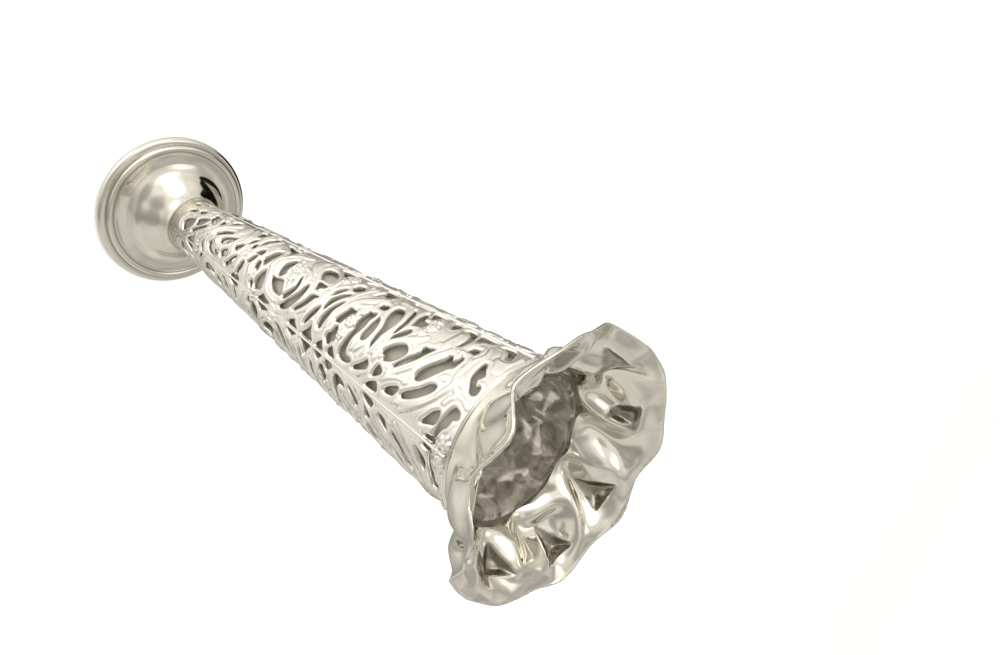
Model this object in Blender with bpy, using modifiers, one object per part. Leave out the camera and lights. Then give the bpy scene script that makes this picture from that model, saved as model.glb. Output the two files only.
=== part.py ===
"""A pierced silver trumpet vase with a crimped mouth and a frosted-glass liner.

The vase stands upright on its foot. The origin is on the axis, in the plane it stands on.
Four separate pieces: a spun foot, a conical body sawn through with scrollwork, a crimped
mouth and a loose glass liner. Everything is in metres.
"""

import math

import bmesh
import bpy
import numpy as np

# Foot: radii and heights of its mouldings, ring, dome and neck.
FOOT_RADIUS = 0.0277
RIM_BEAD_WIDTH = 0.0024
RIM_BEAD_HEIGHT = 0.0034
STEP_BEAD_WIDTH = 0.0023
STEP_BEAD_HEIGHT = 0.0053
RING_HEIGHT = 0.0046
DOME_RADIUS = 0.0150
DOME_BASE_HEIGHT = 0.0068
NECK_RADIUS = 0.0093
NECK_HEIGHT = 0.0177
STANDING_RING_WIDTH = 0.0017

# The bell of the dome, from its neck down, as (share outwards, share upwards): hollow under
# the neck and full at its shoulder. The sheet inside is coarser, from the shoulder up.
BELL = ((0.08, 0.84), (0.40, 0.59), (0.74, 0.36), (0.91, 0.15), (1.0, 0.0))
INSIDE_BELL = ((0.944, 0.10), (0.45, 0.47))
SOCKET_FOOT_SHARE = 0.75

# Body: a cone between two radii, rolled from sheet.
BODY_BOTTOM_RADIUS = 0.00905
BODY_TOP_RADIUS = 0.02186
BODY_LENGTH = 0.1580
SHEET = 0.0008
SOCKET_DEPTH = 0.0020
RIDGE_RISE = 0.0005

# Mouth: how far it flares and how high its tallest pleats stand above the body.
MOUTH_RADIUS = 0.0360
MOUTH_HEIGHT = 0.0202
MOUTH_SHEET = 0.0007

# Liner: a tapered glass cup that rests in the taper of the body.
LINER_LIP_CLEARANCE = 0.0008
LINER_LENGTH = 0.1170
LINER_ABOVE_BODY = 0.0042
LINER_WALL = 0.0016
LINER_ROUNDNESS = 0.75

# Gap left between pieces that touch.
GAP = 0.0003

# Each quarter of the body is one panel, and the panels mirror each other.
PANELS = 4
FACETS_PER_PANEL = 5
FRONT_RIDGE_ANGLE = math.radians(-90.0)
BODY_SIDES = PANELS * FACETS_PER_PANEL
TURNED_SIDES = 24

# The scrollwork is drawn on a panel whose width is 1 and whose height share runs between the
# first two values. It is drawn for a cone whose radius at the pattern's foot, and its growth
# with height, are the other two, in the same shares.
PATTERN_FOOT_SHARE = 0.100
PATTERN_TOP_SHARE = 0.978
PATTERN_RADIUS_SHARE = 0.0503
PATTERN_FLARE_SHARE = 0.0792
RIDGE_MARGIN_SHARE = 0.030
# The six-sided outline is drawn this much fuller than the bent stroke that it follows.
WAIST_FACTOR = 1.25

# Sawn openings: start, middle and end as (share across, share up), then the half-width at
# each of the three, in shares of the height. Share across 0 is a side ridge and 1 the front
# or back ridge.
OPENINGS = (
    # Curled hooks under the plain top band.
    ((0.165, 0.956), (0.060, 0.947), (0.065, 0.934), (0.003, 0.005, 0.004)),
    ((0.340, 0.946), (0.460, 0.949), (0.530, 0.960), (0.006, 0.006, 0.004)),
    ((0.720, 0.961), (0.770, 0.951), (0.920, 0.945), (0.005, 0.006, 0.002)),
    ((0.785, 0.933), (0.850, 0.928), (0.905, 0.918), (0.004, 0.006, 0.003)),
    # Long slots that sweep down towards the front ridge.
    ((0.050, 0.902), (0.080, 0.899), (0.125, 0.895), (0.012, 0.009, 0.003)),
    ((0.380, 0.905), (0.500, 0.891), (0.645, 0.874), (0.005, 0.009, 0.006)),
    ((0.655, 0.904), (0.740, 0.888), (0.835, 0.869), (0.004, 0.006, 0.005)),
    ((0.085, 0.866), (0.060, 0.877), (0.140, 0.886), (0.004, 0.005, 0.004)),
    ((0.435, 0.856), (0.555, 0.849), (0.695, 0.830), (0.005, 0.006, 0.003)),
    ((0.575, 0.819), (0.595, 0.812), (0.625, 0.802), (0.011, 0.014, 0.009)),
    # The tall leaf loop and the band of flowers below it.
    ((0.245, 0.753), (0.400, 0.764), (0.650, 0.766), (0.007, 0.009, 0.002)),
    ((0.410, 0.722), (0.540, 0.720), (0.710, 0.721), (0.006, 0.006, 0.002)),
    ((0.055, 0.702), (0.100, 0.700), (0.165, 0.694), (0.012, 0.010, 0.003)),
    ((0.735, 0.685), (0.800, 0.682), (0.855, 0.679), (0.004, 0.008, 0.004)),
    ((0.480, 0.655), (0.620, 0.649), (0.780, 0.649), (0.002, 0.005, 0.006)),
    ((0.860, 0.631), (0.920, 0.629), (0.955, 0.628), (0.004, 0.011, 0.012)),
    # The great round scroll.
    ((0.050, 0.602), (0.090, 0.601), (0.155, 0.603), (0.011, 0.009, 0.002)),
    ((0.215, 0.570), (0.260, 0.582), (0.325, 0.599), (0.009, 0.013, 0.006)),
    ((0.510, 0.568), (0.710, 0.566), (0.880, 0.538), (0.003, 0.006, 0.003)),
    ((0.470, 0.541), (0.600, 0.546), (0.750, 0.535), (0.002, 0.005, 0.005)),
    ((0.650, 0.489), (0.695, 0.506), (0.745, 0.521), (0.006, 0.011, 0.005)),
    ((0.335, 0.497), (0.430, 0.492), (0.545, 0.496), (0.003, 0.008, 0.003)),
    ((0.925, 0.481), (0.950, 0.486), (0.965, 0.492), (0.007, 0.012, 0.007)),
    # Leaves under the scroll.
    ((0.610, 0.457), (0.720, 0.456), (0.835, 0.457), (0.003, 0.008, 0.008)),
    ((0.050, 0.464), (0.120, 0.463), (0.225, 0.461), (0.010, 0.008, 0.002)),
    ((0.315, 0.444), (0.430, 0.441), (0.540, 0.439), (0.004, 0.008, 0.004)),
    ((0.060, 0.396), (0.150, 0.395), (0.280, 0.391), (0.010, 0.009, 0.003)),
    # The small scroll and the openings above the collar.
    ((0.485, 0.319), (0.540, 0.311), (0.610, 0.302), (0.003, 0.008, 0.007)),
    ((0.795, 0.299), (0.850, 0.283), (0.740, 0.269), (0.003, 0.008, 0.003)),
    ((0.050, 0.287), (0.110, 0.285), (0.190, 0.281), (0.010, 0.008, 0.003)),
    ((0.275, 0.222), (0.340, 0.222), (0.425, 0.229), (0.006, 0.010, 0.004)),
    ((0.420, 0.203), (0.500, 0.197), (0.600, 0.190), (0.004, 0.009, 0.004)),
    ((0.560, 0.171), (0.680, 0.163), (0.810, 0.158), (0.003, 0.011, 0.004)),
    ((0.085, 0.142), (0.120, 0.139), (0.205, 0.134), (0.011, 0.009, 0.003)),
)

# The mouth has ten pleats. A lobe is where the edge stands out, a notch where it is pinched.
PLEATS = 10
COLUMNS_PER_PLEAT = 6
FIRST_LOBE_ANGLE = math.radians(-120.0)

# Sections of the mouth from the body to the edge, as (share outwards, share upwards). The
# sheet at a lobe dips into a pit before it rises, and at a notch it climbs at once.
LOBE_SECTION = (
    (0.0, 0.0), (0.035, 0.20), (0.222, 0.30), (0.462, 0.39), (0.679, 0.61), (0.823, 0.84), (1.0, 1.0),
)
NOTCH_SECTION = (
    (0.0, 0.0), (0.039, 0.23), (0.180, 0.45), (0.381, 0.66), (0.596, 0.81), (0.785, 0.915), (1.0, 1.0),
)

# The mouth was crimped by hand, so each lobe and each notch has its own reach and rise.
LOBE_REACH_FACTORS = (1.00, 1.04, 0.90, 0.96, 1.00, 1.00, 1.04, 1.05, 1.07, 0.96)
LOBE_RISE_FACTORS = (0.97, 1.10, 0.64, 0.79, 0.93, 1.00, 1.05, 0.96, 0.53, 0.66)
NOTCH_REACH_FACTORS = (0.92, 0.79, 0.94, 0.90, 0.90, 0.94, 0.96, 1.05, 0.98, 0.92)
NOTCH_RISE_FACTORS = (0.78, 0.88, 0.65, 0.81, 0.90, 0.92, 1.00, 0.87, 0.62, 0.58)

SILVER = (0.78, 0.75, 0.68, 1.0)
FROSTED_GLASS = (0.72, 0.70, 0.63, 1.0)

BODY_BOTTOM = NECK_HEIGHT + GAP
BODY_TOP = BODY_BOTTOM + BODY_LENGTH
MOUTH_BOTTOM = BODY_TOP + GAP
LINER_TOP = BODY_TOP + LINER_ABOVE_BODY
LINER_BOTTOM = LINER_TOP - LINER_LENGTH


def clear_scene():
    """Remove every object, so that the file holds the vase alone."""
    for thing in list(bpy.data.objects):
        bpy.data.objects.remove(thing, do_unlink=True)


def make_material(name, colour, roughness, metallic, transmission=0.0):
    """A Principled material with one colour."""
    made = bpy.data.materials.new(name)
    made.use_nodes = True
    shader = made.node_tree.nodes["Principled BSDF"]
    shader.inputs["Base Color"].default_value = colour
    shader.inputs["Roughness"].default_value = roughness
    shader.inputs["Metallic"].default_value = metallic
    shader.inputs["Transmission Weight"].default_value = transmission
    return made


def add_object(name, mesh, collection, material):
    """Put a mesh into the vase's collection as one named piece."""
    piece = bpy.data.objects.new(name, mesh)
    collection.objects.link(piece)
    mesh.materials.append(material)
    return piece


def turn(piece, sides):
    """Turn a profile at +X once round the axis."""
    screw = piece.modifiers.new("Turn", "SCREW")
    screw.axis = "Z"
    screw.steps = sides
    screw.render_steps = sides
    screw.use_merge_vertices = True
    screw.merge_threshold = 0.00001
    screw.use_smooth_shade = True


def profile_mesh(name, points, closed):
    """A chain of edges in the XZ plane from (radius, height) pairs."""
    count = len(points)
    edges = [(i, i + 1) for i in range(count - 1)]
    if closed:
        edges.append((count - 1, 0))
    mesh = bpy.data.meshes.new(name)
    mesh.from_pydata([(radius, 0.0, height) for radius, height in points], edges, [])
    return mesh


def arc(centre, radii, start, end, count):
    """Points of an ellipse's arc, from one angle in degrees to another."""
    angles = np.radians(np.linspace(start, end, count))
    return [
        (centre[0] + radii[0] * math.cos(a), centre[1] + radii[1] * math.sin(a)) for a in angles
    ]


def smooth_curve(keys, shares):
    """Catmull-Rom curve through equally spaced keys, read at shares from 0 to 1."""
    keys = np.array(keys, float)
    spans = len(keys) - 1
    slopes = np.gradient(keys, axis=0)
    along = np.clip(np.asarray(shares, float), 0.0, 1.0) * spans
    first = np.minimum(along.astype(int), spans - 1)
    t = (along - first)[..., None]
    a, b = keys[first], keys[first + 1]
    m, n = slopes[first], slopes[first + 1]
    return (
        (2 * t**3 - 3 * t**2 + 1) * a
        + (t**3 - 2 * t**2 + t) * m
        + (3 * t**2 - 2 * t**3) * b
        + (t**3 - t**2) * n
    )


def body_radius(height):
    """Outer radius of the conical body at a height."""
    share = (height - BODY_BOTTOM) / BODY_LENGTH
    return BODY_BOTTOM_RADIUS + (BODY_TOP_RADIUS - BODY_BOTTOM_RADIUS) * share


def bore_radius(height):
    """Clear radius inside the faceted body at a height."""
    return (body_radius(height) - SHEET) * math.cos(math.pi / BODY_SIDES)


def foot_outside():
    """Outer profile of the foot from the socket's top down to the floor."""
    socket = bore_radius(BODY_BOTTOM) - GAP
    bead_outer = FOOT_RADIUS
    step_outer = FOOT_RADIUS - RIM_BEAD_WIDTH
    ring_outer = step_outer - STEP_BEAD_WIDTH
    dome_rise = NECK_HEIGHT - DOME_BASE_HEIGHT
    dome_depth = DOME_RADIUS - NECK_RADIUS
    points = [(socket, BODY_BOTTOM + SOCKET_DEPTH), (socket, NECK_HEIGHT), (NECK_RADIUS, NECK_HEIGHT)]
    points += [(NECK_RADIUS + dome_depth * u, DOME_BASE_HEIGHT + dome_rise * v) for u, v in BELL]
    # The broad ring dips gently from the dome to the mouldings.
    for share in (0.2, 0.55, 1.0):
        radius = DOME_RADIUS + (ring_outer - DOME_RADIUS) * share
        points.append((radius, RING_HEIGHT + (DOME_BASE_HEIGHT - RING_HEIGHT) * (1.0 - share) ** 2))
    step_half = STEP_BEAD_WIDTH / 2
    step_rise = STEP_BEAD_HEIGHT - RING_HEIGHT
    points += arc((ring_outer + step_half, RING_HEIGHT), (step_half, step_rise), 150, 20, 4)
    points.append((step_outer, RIM_BEAD_HEIGHT))
    rim_half = RIM_BEAD_HEIGHT / 2
    points += arc((bead_outer - rim_half, rim_half), (rim_half, rim_half), 90, -50, 5)
    points.append((bead_outer - rim_half, 0.0))
    return points


def foot_inside():
    """Inner profile of the foot from the standing ring up to the socket's top."""
    socket = bore_radius(BODY_BOTTOM) - GAP
    inner_edge = FOOT_RADIUS - RIM_BEAD_HEIGHT / 2 - STANDING_RING_WIDTH
    ring_outer = FOOT_RADIUS - RIM_BEAD_WIDTH - STEP_BEAD_WIDTH
    dome_rise = NECK_HEIGHT - DOME_BASE_HEIGHT
    dome_depth = DOME_RADIUS - NECK_RADIUS
    points = [
        (inner_edge, 0.0),
        (inner_edge, RIM_BEAD_HEIGHT - SHEET),
        (ring_outer, RING_HEIGHT - SHEET),
        (DOME_RADIUS, DOME_BASE_HEIGHT - SHEET),
    ]
    for u, v in INSIDE_BELL:
        points.append((NECK_RADIUS + dome_depth * u - SHEET, DOME_BASE_HEIGHT + dome_rise * v))
    points.append((socket - SHEET, DOME_BASE_HEIGHT + dome_rise * SOCKET_FOOT_SHARE))
    points.append((socket - SHEET, BODY_BOTTOM + SOCKET_DEPTH))
    return points


def make_foot(collection, material):
    """The spun foot, open underneath, with a short socket that the body sits round."""
    mesh = profile_mesh("foot", foot_outside() + foot_inside(), closed=True)
    turn(add_object("foot", mesh, collection, material), TURNED_SIDES)


def pattern_width(share):
    """Width of a panel at a height share, in the same shares, on the pattern as drawn."""
    radius = PATTERN_RADIUS_SHARE + PATTERN_FLARE_SHARE * (share - PATTERN_FOOT_SHARE)
    return math.tau / PANELS * radius


def bend(start, control, end, t):
    """Point of a quadratic curve at a share t of its way."""
    return (1 - t) ** 2 * start + 2 * t * (1 - t) * control + t**2 * end


def opening_outline(start, middle, end, widths):
    """Six-sided outline of one sawn opening: a bent stroke with two pointed ends."""
    start, middle, end = (np.array(point) for point in (start, middle, end))
    scale = np.array([pattern_width(middle[1]), 1.0])
    control = 2 * middle - (start + end) / 2
    ways = [control - start, end - start, end - control]
    ways = [way * scale / np.linalg.norm(way * scale) for way in ways]
    early = bend(start, control, end, 0.25)
    late = bend(start, control, end, 0.75)
    outline = [start - ways[0] * widths[0] / scale]
    sides = []
    for point, way, width in (
        (early, ways[0] + ways[1], (widths[0] + widths[1]) / 2),
        (late, ways[1] + ways[2], (widths[1] + widths[2]) / 2),
    ):
        way = way / np.linalg.norm(way)
        sides.append((point, np.array([-way[1], way[0]]) * width * WAIST_FACTOR / scale))
    outline += [point + across for point, across in sides]
    outline.append(end + ways[2] * widths[2] / scale)
    outline += [point - across for point, across in reversed(sides)]
    margin = RIDGE_MARGIN_SHARE
    return [(min(max(across, margin), 1.0 - margin), share) for across, share in outline]


def add_outline(curve, points):
    """Add one closed polygon to a flat curve."""
    spline = curve.splines.new("POLY")
    spline.points.add(len(points) - 1)
    for target, (across, share) in zip(spline.points, points):
        target.co = (across, share, 0.0, 1.0)
    spline.use_cyclic_u = True


def flat_panel():
    """One panel of the body as a flat sheet with its openings sawn out."""
    curve = bpy.data.curves.new("panel", "CURVE")
    curve.dimensions = "2D"
    curve.fill_mode = "BOTH"
    low, high = PATTERN_FOOT_SHARE, PATTERN_TOP_SHARE
    add_outline(curve, [(0.0, low), (1.0, low), (1.0, high), (0.0, high)])
    for start, middle, end, widths in OPENINGS:
        add_outline(curve, opening_outline(start, middle, end, widths))
    drawn = bpy.data.objects.new("panel", curve)
    bpy.context.scene.collection.objects.link(drawn)
    graph = bpy.context.evaluated_depsgraph_get()
    mesh = bpy.data.meshes.new_from_object(drawn.evaluated_get(graph))
    bpy.data.objects.remove(drawn, do_unlink=True)
    return mesh


def roll(across, share, panel):
    """Place of a point of the pattern on the faceted cone.

    Odd panels are mirrored, so that both neighbours of a ridge meet on it.
    """
    turned = across - 1.0 if panel % 2 == 0 else 1.0 - across
    angle = (turned + (panel + panel % 2)) * math.tau / PANELS + FRONT_RIDGE_ANGLE
    up_panel = (share - PATTERN_FOOT_SHARE) / (PATTERN_TOP_SHARE - PATTERN_FOOT_SHARE)
    height = BODY_BOTTOM + BODY_LENGTH * up_panel
    facet = math.tau / BODY_SIDES
    from_line = (angle - FRONT_RIDGE_ANGLE) % facet
    radius = body_radius(height) * math.cos(facet / 2) / math.cos(from_line - facet / 2)
    from_ridge = min(across, 1.0 - across)
    radius += RIDGE_RISE * max(0.0, 1.0 - from_ridge / RIDGE_MARGIN_SHARE)
    return radius * math.cos(angle), radius * math.sin(angle), height


def make_body(collection, material):
    """The conical body: the flat panel cut along its facet lines, rolled up four times."""
    flat = flat_panel()
    whole = bmesh.new()
    for panel in range(PANELS):
        sheet = bmesh.new()
        sheet.from_mesh(flat)
        lines = [k / FACETS_PER_PANEL for k in range(1, FACETS_PER_PANEL)]
        for line in lines + [RIDGE_MARGIN_SHARE, 1.0 - RIDGE_MARGIN_SHARE]:
            everything = sheet.verts[:] + sheet.edges[:] + sheet.faces[:]
            bmesh.ops.bisect_plane(
                sheet, geom=everything, dist=1e-6, plane_co=(line, 0.0, 0.0), plane_no=(1.0, 0.0, 0.0)
            )
        for vert in sheet.verts:
            vert.co = roll(vert.co.x, vert.co.y, panel)
        rolled = bpy.data.meshes.new("panel")
        sheet.to_mesh(rolled)
        sheet.free()
        whole.from_mesh(rolled)
        bpy.data.meshes.remove(rolled)
    bmesh.ops.remove_doubles(whole, verts=whole.verts, dist=0.00001)
    bmesh.ops.triangulate(whole, faces=whole.faces)
    bmesh.ops.recalc_face_normals(whole, faces=whole.faces)
    mesh = bpy.data.meshes.new("pierced_body")
    whole.to_mesh(mesh)
    whole.free()
    body = add_object("pierced_body", mesh, collection, material)
    wall = body.modifiers.new("Wall", "SOLIDIFY")
    wall.thickness = SHEET
    wall.offset = -1.0
    wall.use_even_offset = True


def around_mouth(lobes, notches, turns):
    """Smooth value round the mouth through each pleat's own lobe and notch value."""
    stations = np.array([value for pair in zip(lobes, notches) for value in pair])
    along = (turns % 1.0) * 2 * PLEATS
    first = along.astype(int) % (2 * PLEATS)
    blend = (1.0 - np.cos(math.pi * (along % 1.0))) / 2
    return stations[first] * (1.0 - blend) + stations[(first + 1) % (2 * PLEATS)] * blend


def mouth_surface(turns, along):
    """Points of the mouth's outer face, for turns round it and shares from body to edge."""
    lobed = (1.0 + np.cos(math.tau * PLEATS * turns)) / 2
    lobe = smooth_curve(LOBE_SECTION, along)
    notch = smooth_curve(NOTCH_SECTION, along)
    section = notch + (lobe - notch) * lobed[..., None]
    reach = 1.0 + (around_mouth(LOBE_REACH_FACTORS, NOTCH_REACH_FACTORS, turns) - 1.0) * along
    rise = 1.0 + (around_mouth(LOBE_RISE_FACTORS, NOTCH_RISE_FACTORS, turns) - 1.0) * along
    radius = BODY_TOP_RADIUS + (MOUTH_RADIUS - BODY_TOP_RADIUS) * section[..., 0] * reach
    height = MOUTH_BOTTOM + MOUTH_HEIGHT * section[..., 1] * rise
    angle = math.tau * turns + FIRST_LOBE_ANGLE
    return np.stack([radius * np.cos(angle), radius * np.sin(angle), height], axis=-1)


def make_mouth(collection, material):
    """The crimped mouth: a grid wrapped round the axis, closed on itself and given its wall."""
    grid = bmesh.new()
    columns = PLEATS * COLUMNS_PER_PLEAT
    rows = len(LOBE_SECTION) - 1
    bmesh.ops.create_grid(grid, x_segments=columns, y_segments=rows, size=0.5)
    flat = np.array([vert.co for vert in grid.verts])
    places = mouth_surface(flat[:, 0] + 0.5, flat[:, 1] + 0.5)
    for vert, place in zip(grid.verts, places):
        vert.co = place
    bmesh.ops.remove_doubles(grid, verts=grid.verts, dist=0.00001)
    mesh = bpy.data.meshes.new("frilled_mouth")
    grid.to_mesh(mesh)
    grid.free()
    mouth = add_object("frilled_mouth", mesh, collection, material)
    wall = mouth.modifiers.new("Wall", "SOLIDIFY")
    wall.thickness = MOUTH_SHEET
    wall.offset = -1.0


def make_liner(collection, material):
    """The glass liner: a tapered cup with a round bottom that wedges in the body's taper."""
    shoulder = LINER_BOTTOM + bore_radius(LINER_BOTTOM) * LINER_ROUNDNESS
    base = bore_radius(shoulder) - GAP
    lip = LINER_WALL / 2
    lip_radius = bore_radius(BODY_TOP) - LINER_LIP_CLEARANCE
    bottom = arc((0.0, shoulder), (base, shoulder - LINER_BOTTOM), 0, -90, 6)
    inner_depth = shoulder - LINER_BOTTOM - LINER_WALL
    hollow = arc((0.0, shoulder), (base - LINER_WALL, inner_depth), -90, 0, 6)
    rim = arc((lip_radius - lip, LINER_TOP - lip), (lip, lip), 150, 0, 4)
    points = [(0.0, hollow[0][1])] + hollow[1:] + rim + bottom[:-1] + [(0.0, LINER_BOTTOM)]
    mesh = profile_mesh("glass_liner", points, closed=False)
    turn(add_object("glass_liner", mesh, collection, material), TURNED_SIDES)


def main():
    clear_scene()
    collection = bpy.data.collections.new("pierced trumpet vase")
    bpy.context.scene.collection.children.link(collection)
    silver = make_material("polished silver", SILVER, 0.12, 1.0)
    pierced = make_material("pierced silver", SILVER, 0.20, 1.0)
    crimped = make_material("crimped silver", SILVER, 0.08, 1.0)
    glass = make_material("frosted glass", FROSTED_GLASS, 0.45, 0.0, transmission=0.8)
    make_foot(collection, silver)
    make_body(collection, pierced)
    make_mouth(collection, crimped)
    make_liner(collection, glass)


main()
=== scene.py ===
"""A pierced silver trumpet vase with a crimped mouth and a frosted-glass liner.

The vase stands upright on its foot. Everything is in metres, with the origin on the axis in
the plane it stands on. Each new piece is a surface worked out on a grid, in the CAD's frame.
"""

import math

import bpy
import numpy as np
from mathutils import Matrix


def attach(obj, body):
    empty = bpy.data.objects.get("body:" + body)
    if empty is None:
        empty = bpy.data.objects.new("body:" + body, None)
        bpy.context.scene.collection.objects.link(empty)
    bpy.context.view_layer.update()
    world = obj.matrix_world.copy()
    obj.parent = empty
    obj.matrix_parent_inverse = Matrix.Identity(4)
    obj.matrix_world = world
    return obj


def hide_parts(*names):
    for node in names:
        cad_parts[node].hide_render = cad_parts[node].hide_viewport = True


bl_info = {
    "name": "Pierced trumpet vase",
    "version": (1, 0, 0),
    "blender": (4, 5, 0),
    "location": "View3D > Sidebar > Trumpet vase",
    "description": "Builds the silver, the glass and the studio of a pierced trumpet vase",
    "category": "Object",
}

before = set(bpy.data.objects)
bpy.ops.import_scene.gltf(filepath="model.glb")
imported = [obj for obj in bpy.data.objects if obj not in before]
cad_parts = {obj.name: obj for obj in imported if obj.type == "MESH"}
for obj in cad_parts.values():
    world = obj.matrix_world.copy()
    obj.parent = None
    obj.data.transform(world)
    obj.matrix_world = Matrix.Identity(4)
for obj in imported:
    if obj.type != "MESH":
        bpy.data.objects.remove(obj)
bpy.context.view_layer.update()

# The pattern of the body is drawn in shares of the vase's height to its throat.
PATTERN_FOOT = 0.100
PATTERN_TOP = 0.978
DRAWN = 1000.0
PANELS = 4
PANEL_TURN = math.tau / PANELS
RIDGE_BAND = 0.018
FRONT_RIDGE = math.radians(-90.0)
PLEATS = 10
FIRST_LOBE = math.radians(-120.0)

# How finely each surface is divided.
PANEL_GRID = (102, 500)
MOUTH_GRID = (500, 66)
FOOT_STEPS = 240
LINER_STEPS = 128
BAR_SIDES = 12
SEAM_SIDES = 10
STROKE_STEPS = 10
WAVES = 12

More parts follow.
